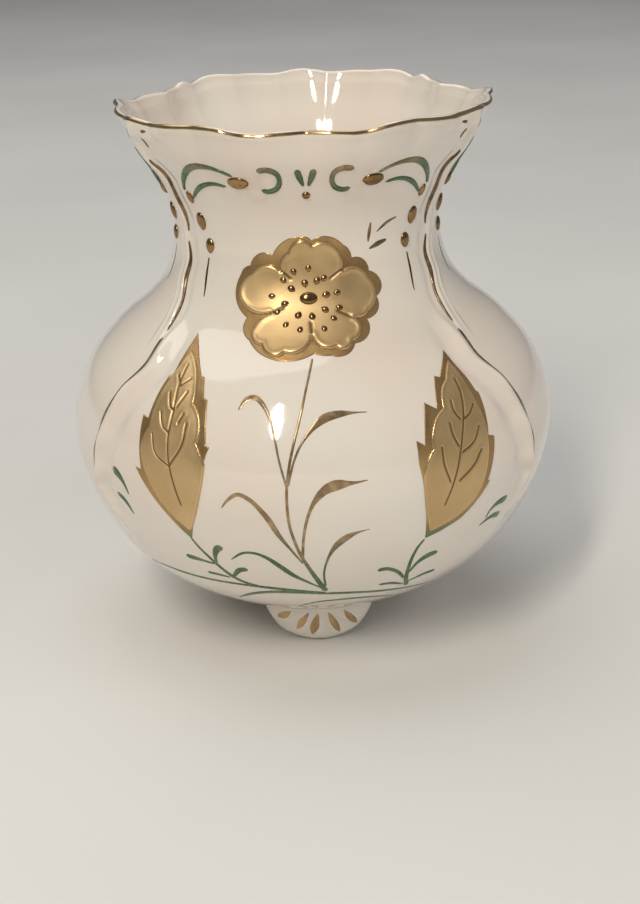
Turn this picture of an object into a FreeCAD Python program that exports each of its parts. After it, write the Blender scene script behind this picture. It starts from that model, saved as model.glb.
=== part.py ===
"""Porcelain vase: three-panelled body on three shell feet, with raised and gilded decoration.

Millimetres, +Z up. The origin is on the table under the middle of the body.
Azimuth 0 faces -Y, the front panel, and grows towards +X. The three panels are centred
on azimuths 0, 120 and -120; the corner ridges between them are at 60, 180 and -60.
"""

import FreeCAD, Part
import math
import os

Vector = FreeCAD.Vector

# Body
LIP_HEIGHT = 176.4          # mean height of the top of the lip
WALL = 3.4                  # wall thickness of the belly and neck
LIP_RADIUS = 1.3            # half the thickness of the rounded lip
FLOOR_THICKNESS = 4.0
# Outside of the body: (height, radius), from the flat underside to just under the lip
PROFILE = [
    (12.0, 32.0), (18.0, 45.0), (26.0, 57.5), (36.0, 67.5), (50.0, 75.3), (62.0, 79.0),
    (72.0, 80.2), (84.0, 78.5), (95.0, 73.2), (105.0, 64.0), (114.0, 53.2), (123.0, 46.4),
    (136.0, 43.1), (147.0, 44.7), (157.0, 49.4), (166.0, 54.8), (172.0, 57.3),
    (LIP_HEIGHT, 58.9),
]
UNDERSIDE = PROFILE[0][0]
LIP_CENTRE = PROFILE[-1][1] - LIP_RADIUS    # radius of the middle of the rounded lip
LIP_BASE = LIP_HEIGHT - LIP_RADIUS          # height of that middle

# Scalloped rim: amplitudes of cos(n * azimuth), fading out down the neck
RIM_FADE_START = 146.0
RIM_RADIUS_WAVES = {3: -1.6, 6: -1.0, 9: -0.9, 21: -0.7}
RIM_HEIGHT_WAVES = {3: -0.65, 6: -0.5, 12: 0.5, 21: -0.2}
RING_POINTS = 84            # points round each ring: four for each of the 21 scallops
RING_STEP = 9.0             # largest height between two rings
SLOPE_STEP = 0.5            # heights this far apart give the profile's slope
INNER_CORNER = 9.0          # width of the rounded corner between the cavity's side and floor

# Feet
FOOT_TOP = 15.4
BOWL_TOP = 22.0             # height up to which the feet are fitted to the body
# Horizontal sections of a foot: (height, inner radius, outer radius, half width)
FOOT_SECTIONS = [
    (0.0, 26.5, 32.5, 4.6), (1.6, 25.4, 34.0, 8.8), (4.0, 24.2, 35.4, 12.8),
    (7.5, 22.8, 36.8, 15.6), (11.5, 21.6, 38.2, 17.6), (FOOT_TOP, 21.0, 40.0, 18.8),
]

# Decoration
GILT = 0.15                 # thickness of fired gold and of painted strokes
RELIEF = 0.7                # height of the raised petals and beads
LEAF_RELIEF = 0.35          # height of the raised leaf faces
PLATE_DEPTH = 14.0          # reach of a plate's cutting prism on each side of its plane
PATCH_GRID = 14             # points along each side of the surface patch under a plate
PATCH_AZIMUTH = 34.0        # half the width of that patch, degrees
PATCH_HEIGHT = 38.0         # half its height
DOT_CLEARANCE = 0.05        # gap that keeps a flat dot off the curved petals
DROP_STEPS = 20             # steps that bring a point down onto the body
STROKE_SECTIONS = 13

# A raised motif lies in a plane of its own: azimuth and height of its centre, lean in degrees.
# Its outlines are (x, y, bulge), clockwise in that plane from the top: bulge is the height of
# the arc to the next point over half its chord, and 0 is a straight line.
FLOWER = (0.0, 124.0, 26.0)
FLOWER_BORDER = [
    (1.2, 16.1, 0.35), (10.8, 15.0, 0.32), (13.2, 11.5, 0.56), (18.4, 8.0, 0.68),
    (20.6, 0.3, 0.50), (17.4, -7.1, 0.55), (13.4, -15.1, 0.48), (6.1, -19.0, 0.11),
    (0.8, -18.3, 0.27), (-13.2, -18.9, 0.19), (-18.5, -12.9, 0.42), (-19.1, -5.4, 0.38),
    (-20.6, 8.3, 0.36), (-17.6, 10.5, 0.58), (-10.8, 12.7, 0.33), (-2.0, 17.1, 0.33),
]
FLOWER_PETALS = [
    (1.2, 14.3, 0.46), (9.4, 11.7, 0.27), (9.7, 7.8, 0.48), (17.1, 5.8, 0.46),
    (16.9, -4.5, 0.37), (13.0, -6.5, 0.65), (12.0, -13.7, 0.66), (7.3, -15.7, 0.5),
    (0.4, -12.0, 0.5), (-7.4, -17.0, 0.62), (-13.9, -14.2, 0.62), (-16.1, -8.7, 0.2),
    (-11.5, -4.6, 0.34), (-19.2, -1.0, 0.51), (-16.2, 7.7, 0.5), (-7.8, 7.7, 0.45),
    (-5.6, 12.7, 0.62),
]
# Rings of dots round the flower's middle: (count, radius of the ring, first angle)
DOT_RINGS = [(8, 5.8, 12.0), (12, 10.0, 20.0)]
DOT_RADIUS = 1.1
CENTRE_DOT_RADIUS = 2.2

RIGHT_LEAF = (34.0, 79.0, 12.0)
RIGHT_LEAF_BORDER = [
    (7.2, 30.6, 0.03), (11.3, 17.2, 0.0), (12.2, 16.4, 0.06), (11.6, 3.4, 0.0),
    (14.1, 2.5, 0.08), (10.5, -11.1, 0.0), (11.6, -10.9, 0.12), (0.5, -21.2, 0.04),
    (-11.2, -24.6, 0.0), (-15.3, 0.7, 0.0), (-14.9, 7.6, 0.0), (-12.4, 5.6, 0.06),
    (-8.7, 17.7, 0.0), (-5.4, 15.2, 0.05), (-1.3, 24.2, 0.0), (0.3, 23.4, 0.0),
]
RIGHT_LEAF_FACE = [
    (6.3, 27.5, 0.04), (9.3, 15.7, 0.09), (11.1, 2.1, 0.1), (7.9, -11.9, 0.17),
    (-1.0, -19.7, 0.05), (-10.3, -22.4, 0.1), (-14.2, -4.3, 0.2), (-10.2, 4.0, 0.33),
    (-3.4, 14.8, 0.28), (1.7, 22.4, 0.08),
]
LEFT_LEAF = (-34.0, 82.0, 14.0)
LEFT_LEAF_BORDER = [
    (-4.9, 35.8, 0.0), (4.2, 24.1, 0.0), (5.5, 23.8, 0.0), (8.2, 18.1, 0.0),
    (9.6, 17.7, 0.04), (12.9, 4.8, 0.0), (14.2, 4.3, 0.0), (13.4, 1.7, 0.05),
    (5.7, -26.4, 0.06), (-13.0, -6.3, 0.0), (-10.5, -6.8, 0.05), (-11.9, 10.0, 0.0),
    (-9.6, 9.3, 0.04), (-7.4, 22.9, 0.0), (-6.2, 21.8, 0.02),
]
LEFT_LEAF_FACE = [
    (-3.3, 30.5, 0.16), (4.5, 20.7, 0.1), (5.8, 16.0, 0.34), (10.2, 4.8, 0.1),
    (13.4, -1.2, 0.13), (6.3, -23.4, 0.13), (-6.9, -9.7, 0.1), (-10.5, -1.3, 0.2),
    (-8.4, 7.1, 0.1), (-5.3, 24.7, 0.05),
]

# A stroke is its (azimuth, height) points and its widths at even shares of its length
FLOWER_STEM = [
    ([(0.4, 109.0), (-1.4, 102.4), (-2.9, 95.5), (-4.2, 89.3), (-5.3, 82.8), (-6.0, 75.7),
      (-6.1, 69.6), (-5.8, 62.9), (-5.0, 57.6), (-3.6, 51.2), (-1.3, 44.1), (2.1, 34.8)],
     (0.8, 0.9, 1.0, 1.2, 2.2)),
]
FLOWER_LEAVES = [
    ([(-6.0, 75.3), (-6.7, 78.9), (-7.7, 84.1), (-8.6, 89.3), (-10.3, 95.4), (-13.3, 99.3),
      (-16.0, 99.3), (-17.9, 96.1)], (0.8, 0.8, 0.8, 0.8, 0.8, 1.0, 1.7, 1.9, 0.5)),
    ([(-5.8, 75.7), (-4.5, 82.8), (-2.8, 88.0), (-0.2, 92.1), (2.6, 94.6), (5.9, 95.5),
      (9.3, 95.6), (13.1, 95.4)], (0.8, 0.8, 0.8, 0.9, 1.6, 3.0, 2.5, 0.8, 0.4)),
    ([(-3.4, 50.3), (-2.8, 59.4), (-1.7, 66.3), (-0.2, 71.1), (2.1, 74.6), (4.4, 75.9),
      (7.0, 76.2), (9.3, 76.4), (11.6, 76.8)], (1.1, 1.0, 1.0, 1.1, 1.4, 2.8, 3.7, 1.2, 0.4)),
    ([(-3.3, 48.1), (-5.9, 54.0), (-8.3, 59.3), (-10.3, 64.9), (-12.5, 69.1), (-14.4, 71.5),
      (-16.8, 72.7), (-19.0, 70.7), (-20.9, 67.3)], (0.8, 0.9, 1.3, 2.0, 2.1, 1.7, 1.5, 1.2, 0.4)),
    ([(1.6, 36.2), (-2.1, 39.5), (-6.0, 43.2), (-9.1, 47.2), (-11.7, 50.3), (-14.4, 51.9),
      (-17.3, 51.6), (-21.1, 47.9)], (0.8, 1.0, 1.6, 2.1, 2.1, 1.6, 1.2, 1.0, 0.4)),
    ([(1.9, 37.4), (1.5, 43.9), (2.4, 50.0), (4.0, 54.6), (6.2, 57.6), (8.5, 59.3),
      (12.2, 60.4)], (0.9, 0.8, 0.8, 0.9, 1.3, 2.5, 2.4, 0.8, 0.4)),
]
BASE_VINE = [
    ([(-54.0, 35.2), (-46.0, 36.2), (-38.0, 36.4), (-30.0, 36.6), (-23.0, 36.8), (-16.0, 36.7),
      (-8.0, 35.9), (2.2, 33.8)], (0.5, 1.1, 0.9, 1.2, 1.4)),
    ([(-25.4, 27.4), (-19.0, 31.9), (-13.2, 34.1), (-7.7, 34.6), (-2.0, 34.2), (3.4, 33.4)],
     (0.5, 1.2, 1.5, 1.3, 1.2)),
    ([(2.2, 33.7), (9.6, 32.9), (16.2, 31.8), (24.8, 30.2), (33.0, 28.6), (40.0, 27.2)],
     (1.4, 1.2, 0.5)),
    ([(-7.0, 24.0), (-0.5, 27.8), (6.0, 28.8), (13.0, 28.6), (20.0, 27.0), (26.0, 24.8)],
     (0.5, 1.4, 0.5)),
]
LEFT_BRANCH = [
    ([(-30.1, 55.0), (-28.4, 51.0), (-26.5, 47.5), (-24.6, 44.1), (-22.2, 40.6), (-19.3, 38.2),
      (-15.0, 36.8)], (0.7, 1.0, 1.2, 1.3, 0.8)),
    ([(-22.0, 52.9), (-23.5, 52.2), (-24.7, 49.3), (-25.2, 45.4)], (2.1, 1.9, 1.1, 0.8)),
    ([(-17.1, 44.7), (-19.4, 43.9), (-21.1, 41.6), (-22.4, 39.4)], (1.7, 1.7, 1.2, 0.8)),
    ([(-33.8, 46.2), (-31.1, 46.0), (-28.4, 45.6), (-25.6, 45.1)], (1.9, 1.7, 1.0, 0.8)),
    ([(-29.4, 40.4), (-25.9, 40.2), (-22.7, 39.7)], (1.2, 1.1, 0.6)),
]
RIGHT_BRANCH = [
    ([(25.6, 53.0), (24.2, 49.9), (23.4, 45.6), (23.4, 40.4), (24.1, 35.9), (26.0, 31.4)],
     (0.7, 1.0, 1.1, 1.3, 1.4)),
    ([(30.8, 45.6), (28.0, 45.2), (25.5, 43.0), (23.9, 38.7)], (1.6, 2.1, 1.2, 0.6)),
    ([(33.1, 36.6), (29.1, 36.0), (25.2, 34.2)], (1.5, 1.5, 0.7)),
    ([(14.7, 42.9), (17.4, 42.9), (20.5, 40.6), (23.4, 36.4)], (1.7, 1.3, 1.1, 0.8)),
    ([(16.2, 35.6), (20.0, 35.2), (24.4, 33.0)], (1.1, 1.3, 0.7)),
]
COMMAS = [
    ([(-52.4, 71.1), (-50.3, 70.7), (-48.2, 68.3), (-46.8, 64.2)], (2.1, 1.7, 0.9, 0.4)),
    ([(-52.0, 63.2), (-49.2, 61.3), (-47.0, 56.9)], (1.1, 1.2, 0.3)),
    ([(51.4, 56.9), (47.6, 57.2), (44.9, 55.6), (43.8, 52.6)], (1.8, 1.6, 0.9, 0.4)),
    ([(50.3, 51.2), (47.1, 52.5), (44.4, 52.0), (42.0, 50.6)], (1.6, 1.4, 0.9, 0.3)),
]
BIRD_FOOT_MARK = [
    ([(25.9, 145.1), (25.6, 141.8), (25.2, 138.2)], (0.5, 1.3, 0.4)),
    ([(38.6, 145.2), (33.7, 144.0), (28.5, 141.1)], (0.6, 1.2, 0.4)),
    ([(34.2, 138.5), (30.1, 137.7), (25.2, 136.3)], (0.9, 1.8, 0.4)),
]
# Half of a panel's neck scroll; the other half is its mirror image
HALF_SCROLL = [
    ([(50.0, 154.5), (47.4, 158.0), (42.3, 161.9), (37.8, 163.7), (32.6, 163.8), (28.2, 163.0),
      (24.0, 161.5)], (0.7, 1.6, 1.9, 1.2, 0.7)),
    ([(47.2, 152.0), (42.6, 155.2), (38.0, 157.4), (33.1, 158.3), (28.0, 157.8)],
     (0.6, 1.3, 1.2, 0.7)),
    ([(15.5, 164.0), (12.2, 164.5), (9.3, 163.1), (8.6, 160.5), (9.9, 158.0), (12.8, 157.0),
      (15.3, 157.5)], (1.7, 1.7, 1.2, 1.5, 1.3)),
    ([(2.8, 164.3), (1.9, 161.3), (0.8, 158.6)], (1.6, 1.5, 0.6)),
]
# Raised beads of half a panel: (azimuth, height, half width, half height)
HALF_BEADS = [
    (23.0, 159.4, 2.8, 1.9), (48.6, 152.4, 0.9, 2.2), (47.3, 144.5, 1.6, 3.0),
    (44.1, 137.0, 1.5, 2.4),
]
MIDDLE_BEAD = (0.0, 155.6, 1.25, 1.25)
HALF_BEAD_TAIL = ([(44.8, 133.6), (45.2, 128.0), (43.8, 121.0)], (0.4, 0.6, 0.3))
# Wavy gold line on a corner ridge, as azimuths from the middle of the front panel
CORNER_AZIMUTH = 60.0
CORNER_LINE = [
    ([(60.0, 164.0), (56.4, 158.0), (58.4, 151.0), (57.4, 144.0), (58.6, 139.6)], (0.5, 1.2, 0.5)),
    ([(58.4, 137.0), (56.4, 131.0), (57.0, 125.0), (53.6, 118.0), (52.0, 111.0)], (0.5, 1.3, 0.6)),
    ([(51.6, 109.6), (50.6, 103.0), (54.2, 96.0), (56.4, 89.0), (58.2, 81.0), (60.2, 74.0),
      (60.6, 69.0), (63.0, 63.0)], (0.6, 1.3, 0.8, 1.4, 0.8, 1.4, 0.5)),
]
# Dashes on the front of each foot, fanning out from the middle of its top
FOOT_DASH_ANGLES = [-52.0, -26.0, 0.0, 26.0, 52.0]
DASH_WIDTH = 1.2
DASH_LENGTH = 6.0
DASH_REACH = 5.0            # distance of a dash from the fan's middle
DASH_FRONT = -45.0          # Y in front of the foot
DASH_SWELL_CENTRE = -30.0   # Y inside the foot, from which its skin is swollen for the gold
DASH_SWELL = 1.0075

OUTPUT = "parts"


def spline_value(points, x):
    """Smooth value at x of a curve through points (x, y), with x rising."""
    last = len(points) - 1
    i = 0
    while i < last - 1 and x > points[i + 1][0]:
        i += 1
    x0, y0 = points[i]
    x1, y1 = points[i + 1]
    xa, ya = points[max(i - 1, 0)]
    xb, yb = points[min(i + 2, last)]
    span = x1 - x0
    slope0 = (y1 - ya) / (x1 - xa)
    slope1 = (yb - y0) / (xb - x0)
    t = (x - x0) / span
    return (
        y0 * (2 * t ** 3 - 3 * t ** 2 + 1)
        + slope0 * span * (t ** 3 - 2 * t ** 2 + t)
        + y1 * (3 * t ** 2 - 2 * t ** 3)
        + slope1 * span * (t ** 3 - t ** 2)
    )


def waves(amplitudes, azimuth):
    angle = math.radians(azimuth)
    return sum(size * math.cos(order * angle) for order, size in amplitudes.items())


def rim_share(height):
    """0 below the flare of the neck, 1 at the lip."""
    t = (height - RIM_FADE_START) / (LIP_HEIGHT - RIM_FADE_START)
    return max(t, 0.0) ** 2


def place(azimuth, height, radius, share):
    """Point at a radius and height, moved by the rim's waves."""
    radius += share * waves(RIM_RADIUS_WAVES, azimuth)
    height += share * waves(RIM_HEIGHT_WAVES, azimuth)
    angle = math.radians(azimuth)
    return Vector(radius * math.sin(angle), -radius * math.cos(angle), height)


def surface_point(azimuth, height):
    return place(azimuth, height, spline_value(PROFILE, height), rim_share(height))


def surface_normal(azimuth, height):
    step = 0.2
    around = surface_point(azimuth + step, height) - surface_point(azimuth - step, height)
    up = surface_point(azimuth, height + step) - surface_point(azimuth, height - step)
    return around.cross(up).normalize()


def profile_heights():
    """Heights of the rings, dense enough for the loft to keep to the profile."""
    heights = []
    for (low, _), (high, _) in zip(PROFILE, PROFILE[1:]):
        steps = math.ceil((high - low) / RING_STEP)
        heights += [low + (high - low) * i / steps for i in range(steps)]
    return heights


def lip_station(angle):
    """Point of the lip's half circle: 0 degrees is outside, 90 the top and 180 inside."""
    turn = math.radians(angle)
    return (LIP_BASE + LIP_RADIUS * math.sin(turn), LIP_CENTRE + LIP_RADIUS * math.cos(turn), 1.0)


def wall_stations():
    """Section of the wall: (height, radius, rim share), up the outside and down the inside."""
    floor = UNDERSIDE + FLOOR_THICKNESS
    top = LIP_BASE - LIP_RADIUS
    outer = []
    inner = []
    for height in profile_heights():
        radius = spline_value(PROFILE, height)
        low = max(height - SLOPE_STEP, UNDERSIDE)
        high = height + SLOPE_STEP
        slope = (spline_value(PROFILE, high) - spline_value(PROFILE, low)) / (high - low)
        length = math.hypot(1.0, slope)
        share = rim_share(height)
        wall = WALL + share * (2 * LIP_RADIUS - WALL)
        inner_height = height + wall * slope / length
        if height < top:
            outer.append((height, radius, share))
        if floor + 1.0 < inner_height < top:
            inner.append((inner_height, radius - wall / length, share))
    lip = [lip_station(angle) for angle in (0.0, 45.0, 90.0, 135.0)]
    corner = inner[0][1]
    bottom = [(floor + 0.1, corner - INNER_CORNER / 2, 0.0), (floor, corner - INNER_CORNER, 0.0)]
    return outer + lip + inner[::-1] + bottom


def ring(height, radius, share):
    points = [place(360.0 * i / RING_POINTS, height, radius, share) for i in range(RING_POINTS)]
    curve = Part.BSplineCurve()
    curve.interpolate(points, PeriodicFlag=True)
    return Part.Wire([curve.toShape()])


def vase_body():
    return Part.makeLoft([ring(*station) for station in wall_stations()], True)


def polyline_curve(points):
    curve = Part.BSplineCurve()
    curve.interpolate(points)
    return curve


def foot_section(height, inner, outer, half_width):
    middle = (inner + outer) / 2
    depth = (outer - inner) / 2
    ellipse = Part.Ellipse(Vector(0, -middle, height), half_width, depth)
    return Part.Wire([ellipse.toShape()])


def bowl():
    """Plain round solid with the outside of the lowest part of the body."""
    count = 8
    heights = [UNDERSIDE + (BOWL_TOP - UNDERSIDE) * i / count for i in range(count + 1)]
    side = polyline_curve([Vector(spline_value(PROFILE, height), 0, height) for height in heights])
    bottom = Vector(0, 0, UNDERSIDE)
    top = Vector(0, 0, BOWL_TOP)
    edges = [
        Part.makeLine(bottom, side.StartPoint), side.toShape(),
        Part.makeLine(side.EndPoint, top), Part.makeLine(top, bottom),
    ]
    return Part.Face(Part.Wire(edges)).revolve(Vector(0, 0, 0), Vector(0, 0, 1), 360.0)


def front_foot():
    lug = Part.makeLoft([foot_section(*section) for section in FOOT_SECTIONS], True)
    return lug.cut(bowl())


def turned(shape, azimuth):
    copy = shape.copy()
    copy.rotate(Vector(0, 0, 0), Vector(0, 0, 1), azimuth)
    return copy


def rim_gilding():
    """Thin gold cap over the outer half of the lip."""
    angles = (0.0, 30.0, 60.0, 90.0)
    under = [ring(*lip_station(angle)) for angle in angles]
    over = []
    for angle in angles:
        height, radius, share = lip_station(angle)
        turn = math.radians(angle)
        over.append(ring(height + GILT * math.sin(turn), radius + GILT * math.cos(turn), share))
    faces = []
    for wires in (under, over, [under[0], over[0]], [under[-1], over[-1]]):
        faces += Part.makeLoft(wires, False).Faces
    shell = Part.makeShell(faces)
    shell.sewShape()
    return Part.makeSolid(shell)


def stroke(points, widths):
    """Brush stroke lying on the body, as a loft of thin rectangles along a curve."""
    spaced = [(i / (len(widths) - 1), width) for i, width in enumerate(widths)]
    path = polyline_curve([Vector(azimuth, height, 0) for azimuth, height in points])
    sections = []
    for i in range(STROKE_SECTIONS):
        share = i / (STROKE_SECTIONS - 1)
        width = spline_value(spaced, share)
        at = path.FirstParameter + share * (path.LastParameter - path.FirstParameter)
        sections.append(stroke_section(path.value(at), path.tangent(at)[0], width))
    return Part.makeLoft(sections, True)


def stroke_section(here, heading, width):
    """Rectangle across a stroke at the (azimuth, height) here, where it heads along heading."""
    centre = surface_point(here.x, here.y)
    normal = surface_normal(here.x, here.y)
    along = surface_point(here.x + heading.x * 0.1, here.y + heading.y * 0.1) - centre
    side = normal.cross(along).normalize() * (width / 2)
    lift = normal * GILT
    corners = [centre - side, centre + side, centre + side + lift, centre - side + lift]
    return Part.makePolygon(corners + corners[:1])


def strokes(rows, turn=0.0, mirrored=False):
    """List of strokes; turn moves them to another panel, mirrored flips them about it."""
    flip = -1.0 if mirrored else 1.0
    solids = []
    for points, widths in rows:
        moved = [(turn + flip * azimuth, height) for azimuth, height in points]
        solids.append(stroke(moved, widths))
    return solids


def patch(azimuths, heights):
    """Face of the body's outside between two azimuths and two heights."""
    rows = []
    for i in range(PATCH_GRID):
        azimuth = azimuths[0] + (azimuths[1] - azimuths[0]) * i / (PATCH_GRID - 1)
        column = []
        for j in range(PATCH_GRID):
            height = heights[0] + (heights[1] - heights[0]) * j / (PATCH_GRID - 1)
            column.append(surface_point(azimuth, height))
        rows.append(column)
    surface = Part.BSplineSurface()
    surface.interpolate(rows)
    return surface.toShape()


def motif_frame(azimuth, height, lean):
    """Centre of a motif's plane and its right, up and outward directions."""
    angle = math.radians(azimuth)
    tilt = math.radians(lean)
    normal = Vector(math.sin(angle) * math.cos(tilt), -math.cos(angle) * math.cos(tilt), math.sin(tilt))
    right = Vector(math.cos(angle), math.sin(angle), 0)
    return surface_point(azimuth, height), right, normal.cross(right), normal


def outline_wire(frame, outline):
    """Closed wire of arcs and lines in a motif's plane."""
    centre, right, up, _ = frame
    edges = []
    for (x0, y0, bulge), (x1, y1, _) in zip(outline, outline[1:] + outline[:1]):
        start = centre + right * x0 + up * y0
        end = centre + right * x1 + up * y1
        if bulge:
            outward = right * (y0 - y1) + up * (x1 - x0)
            middle = (start + end) / 2 + outward * (bulge / 2)
            edges.append(Part.Arc(start, middle, end).toShape())
        else:
            edges.append(Part.makeLine(start, end))
    return Part.Wire(edges)


def plate(motif, outline, lift, thickness):
    """Thin piece of the body's outside, inside an outline, lifted off it along the motif's normal."""
    frame = motif_frame(*motif)
    normal = frame[3]
    cutter = Part.Face(outline_wire(frame, outline))
    cutter.translate(normal * -PLATE_DEPTH)
    prism = cutter.extrude(normal * (2 * PLATE_DEPTH))
    azimuth, height, _ = motif
    skin = patch(
        (azimuth - PATCH_AZIMUTH, azimuth + PATCH_AZIMUTH), (height - PATCH_HEIGHT, height + PATCH_HEIGHT),
    )
    skin.translate(normal * lift)
    slab = skin.extrude(normal * thickness)
    return prism.common(slab)


def surface_below(frame, x, y):
    """Point of the body under the point (x, y) of a motif's plane, along its normal."""
    centre, right, up, normal = frame
    point = centre + right * x + up * y
    for _ in range(DROP_STEPS):
        gap = math.hypot(point.x, point.y) - spline_value(PROFILE, point.z)
        point -= normal * gap
    return point


def flower_dots():
    frame = motif_frame(*FLOWER)
    normal = frame[3]
    base = GILT + RELIEF
    middle = surface_below(frame, 0.0, 0.0)
    dots = [Part.makeCylinder(CENTRE_DOT_RADIUS, GILT, middle + normal * base, normal)]
    for count, ring_radius, first in DOT_RINGS:
        for i in range(count):
            angle = math.radians(first + 360.0 * i / count)
            spot = surface_below(frame, ring_radius * math.cos(angle), ring_radius * math.sin(angle))
            dots.append(Part.makeCylinder(DOT_RADIUS, GILT, spot + normal * (base + DOT_CLEARANCE), normal))
    return dots


def bead(azimuth, height, half_width, half_height):
    """Low dome, flat against the body."""
    centre = surface_point(azimuth, height)
    normal = surface_normal(azimuth, height)
    along = surface_point(azimuth, height + 0.2) - centre
    side = along.cross(normal).normalize()
    ball = Part.makeSphere(1.0, Vector(0, 0, 0), Vector(0, 0, 1), 0.0, 90.0, 360.0)
    up = normal.cross(side)
    matrix = FreeCAD.Matrix(
        side.x * half_width, up.x * half_height, normal.x * RELIEF, centre.x,
        side.y * half_width, up.y * half_height, normal.y * RELIEF, centre.y,
        side.z * half_width, up.z * half_height, normal.z * RELIEF, centre.z,
        0, 0, 0, 1,
    )
    return ball.transformGeometry(matrix)


def panel_beads(turn):
    azimuth, height, half_width, half_height = MIDDLE_BEAD
    solids = [bead(turn + azimuth, height, half_width, half_height)]
    for flip in (-1.0, 1.0):
        for azimuth, height, half_width, half_height in HALF_BEADS:
            solids.append(bead(turn + flip * azimuth, height, half_width, half_height))
        solids += strokes([HALF_BEAD_TAIL], turn, flip < 0)
    return solids


def panel_scroll(turn):
    return strokes(HALF_SCROLL, turn) + strokes(HALF_SCROLL, turn, mirrored=True)


def foot_dashes(foot):
    """Gold dashes fanning over the front of the foot."""
    skin = foot.copy()
    skin.scale(DASH_SWELL, Vector(0, DASH_SWELL_CENTRE, FOOT_TOP))
    dashes = []
    for angle in FOOT_DASH_ANGLES:
        corner = Vector(-DASH_WIDTH / 2, DASH_FRONT, -DASH_REACH - DASH_LENGTH)
        blade = Part.makeBox(DASH_WIDTH, DASH_SWELL_CENTRE - DASH_FRONT, DASH_LENGTH, corner)
        blade.rotate(Vector(0, 0, 0), Vector(0, 1, 0), angle)
        blade.translate(Vector(0, 0, FOOT_TOP))
        dashes += skin.common(blade).cut(foot).Solids
    return dashes


def save(name, shape):
    if isinstance(shape, list):
        shape = Part.makeCompound(shape)
    shape.exportStep(os.path.join(OUTPUT, name + ".step"))
    print(name, len(shape.Solids), "solids", round(shape.Volume, 1), "mm3", shape.isValid())


def main():
    os.makedirs(OUTPUT, exist_ok=True)
    save("vase_body", vase_body())
    foot = front_foot()
    dashes = foot_dashes(foot)
    for name, turn in (("front", 0.0), ("right", 120.0), ("left", -120.0)):
        save("foot_" + name, turned(foot, turn))
        save("foot_dashes_" + name, [turned(dash, turn) for dash in dashes])
        save("neck_scroll_" + name, panel_scroll(turn))
        save("neck_beads_" + name, panel_beads(turn))
    save("rim_gilding", rim_gilding())
    save("corner_line_right", strokes(CORNER_LINE))
    save("corner_line_left", strokes(CORNER_LINE, mirrored=True))
    save("corner_line_back", strokes(CORNER_LINE, 180.0 - CORNER_AZIMUTH))
    save("flower_border", plate(FLOWER, FLOWER_BORDER, 0.0, GILT))
    save("flower_petals", plate(FLOWER, FLOWER_PETALS, GILT, RELIEF))
    save("flower_dots", flower_dots())
    save("leaf_border_right", plate(RIGHT_LEAF, RIGHT_LEAF_BORDER, 0.0, GILT))
    save("leaf_face_right", plate(RIGHT_LEAF, RIGHT_LEAF_FACE, GILT, LEAF_RELIEF))
    save("leaf_border_left", plate(LEFT_LEAF, LEFT_LEAF_BORDER, 0.0, GILT))
    save("leaf_face_left", plate(LEFT_LEAF, LEFT_LEAF_FACE, GILT, LEAF_RELIEF))
    save("flower_stem", strokes(FLOWER_STEM))
    save("flower_leaves", strokes(FLOWER_LEAVES))
    save("base_vine", strokes(BASE_VINE))
    save("branch_left", strokes(LEFT_BRANCH))
    save("branch_right", strokes(RIGHT_BRANCH))
    save("comma_strokes", strokes(COMMAS))
    save("bird_foot_mark", strokes(BIRD_FOOT_MARK))


main()
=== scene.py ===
"""Porcelain vase: glazed body on three shell feet, with raised and gilded decoration.

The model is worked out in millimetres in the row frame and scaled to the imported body.
Azimuth 0 faces -Y, the front panel, and grows towards +X. The three panels are centred
on azimuths 0, 120 and -120; the corner ridges between them are at 60, 180 and -60.
"""

import math

import bpy
import numpy as np
from mathutils import Matrix, Vector
from mathutils.geometry import delaunay_2d_cdt


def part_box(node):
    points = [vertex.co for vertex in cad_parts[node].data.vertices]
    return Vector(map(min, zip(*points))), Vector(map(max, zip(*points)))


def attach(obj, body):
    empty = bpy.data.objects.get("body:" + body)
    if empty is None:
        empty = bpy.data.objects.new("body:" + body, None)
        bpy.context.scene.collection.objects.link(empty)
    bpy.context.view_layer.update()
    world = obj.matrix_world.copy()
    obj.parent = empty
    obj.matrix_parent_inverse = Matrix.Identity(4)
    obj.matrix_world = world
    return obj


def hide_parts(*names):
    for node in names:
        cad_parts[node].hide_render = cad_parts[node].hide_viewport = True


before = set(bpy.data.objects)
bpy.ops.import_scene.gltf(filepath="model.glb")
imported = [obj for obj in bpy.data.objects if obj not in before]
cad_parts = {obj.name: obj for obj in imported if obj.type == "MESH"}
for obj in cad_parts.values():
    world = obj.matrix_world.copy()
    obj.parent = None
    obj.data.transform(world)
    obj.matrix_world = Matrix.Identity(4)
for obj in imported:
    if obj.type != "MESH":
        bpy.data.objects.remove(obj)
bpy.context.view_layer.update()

# Body
LIP_HEIGHT = 176.4
WALL = 3.4
LIP_RADIUS = 1.3
FLOOR_THICKNESS = 4.0
INNER_CORNER = 9.0
# Outside of the body: (height, radius)
PROFILE = [
    (12.0, 32.0), (18.0, 45.0), (26.0, 57.5), (36.0, 67.5), (50.0, 75.3), (62.0, 79.0),
    (72.0, 80.2), (84.0, 78.5), (95.0, 73.2), (105.0, 64.0), (114.0, 53.2), (123.0, 46.4),
    (136.0, 43.1), (147.0, 44.7), (157.0, 49.4), (166.0, 54.8), (172.0, 57.3),
    (LIP_HEIGHT, 58.9),
]
UNDERSIDE = PROFILE[0][0]
BASE_HOLLOW = 0.9           # depth of the hollow in the middle of the underside
LIP_CENTRE = PROFILE[-1][1] - LIP_RADIUS
LIP_BASE = LIP_HEIGHT - LIP_RADIUS
RIM_FADE_START = 146.0
RIM_RADIUS_WAVES = {3: -1.6, 6: -1.0, 9: -0.9}
RIM_HEIGHT_WAVES = {3: -0.65, 6: -0.5, 12: 0.5, 21: -0.2}
SCALLOPS = 21
SCALLOP_DEPTH = 0.7
RIM_GOLD = 0.13             # thickness of the rim's gold
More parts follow.
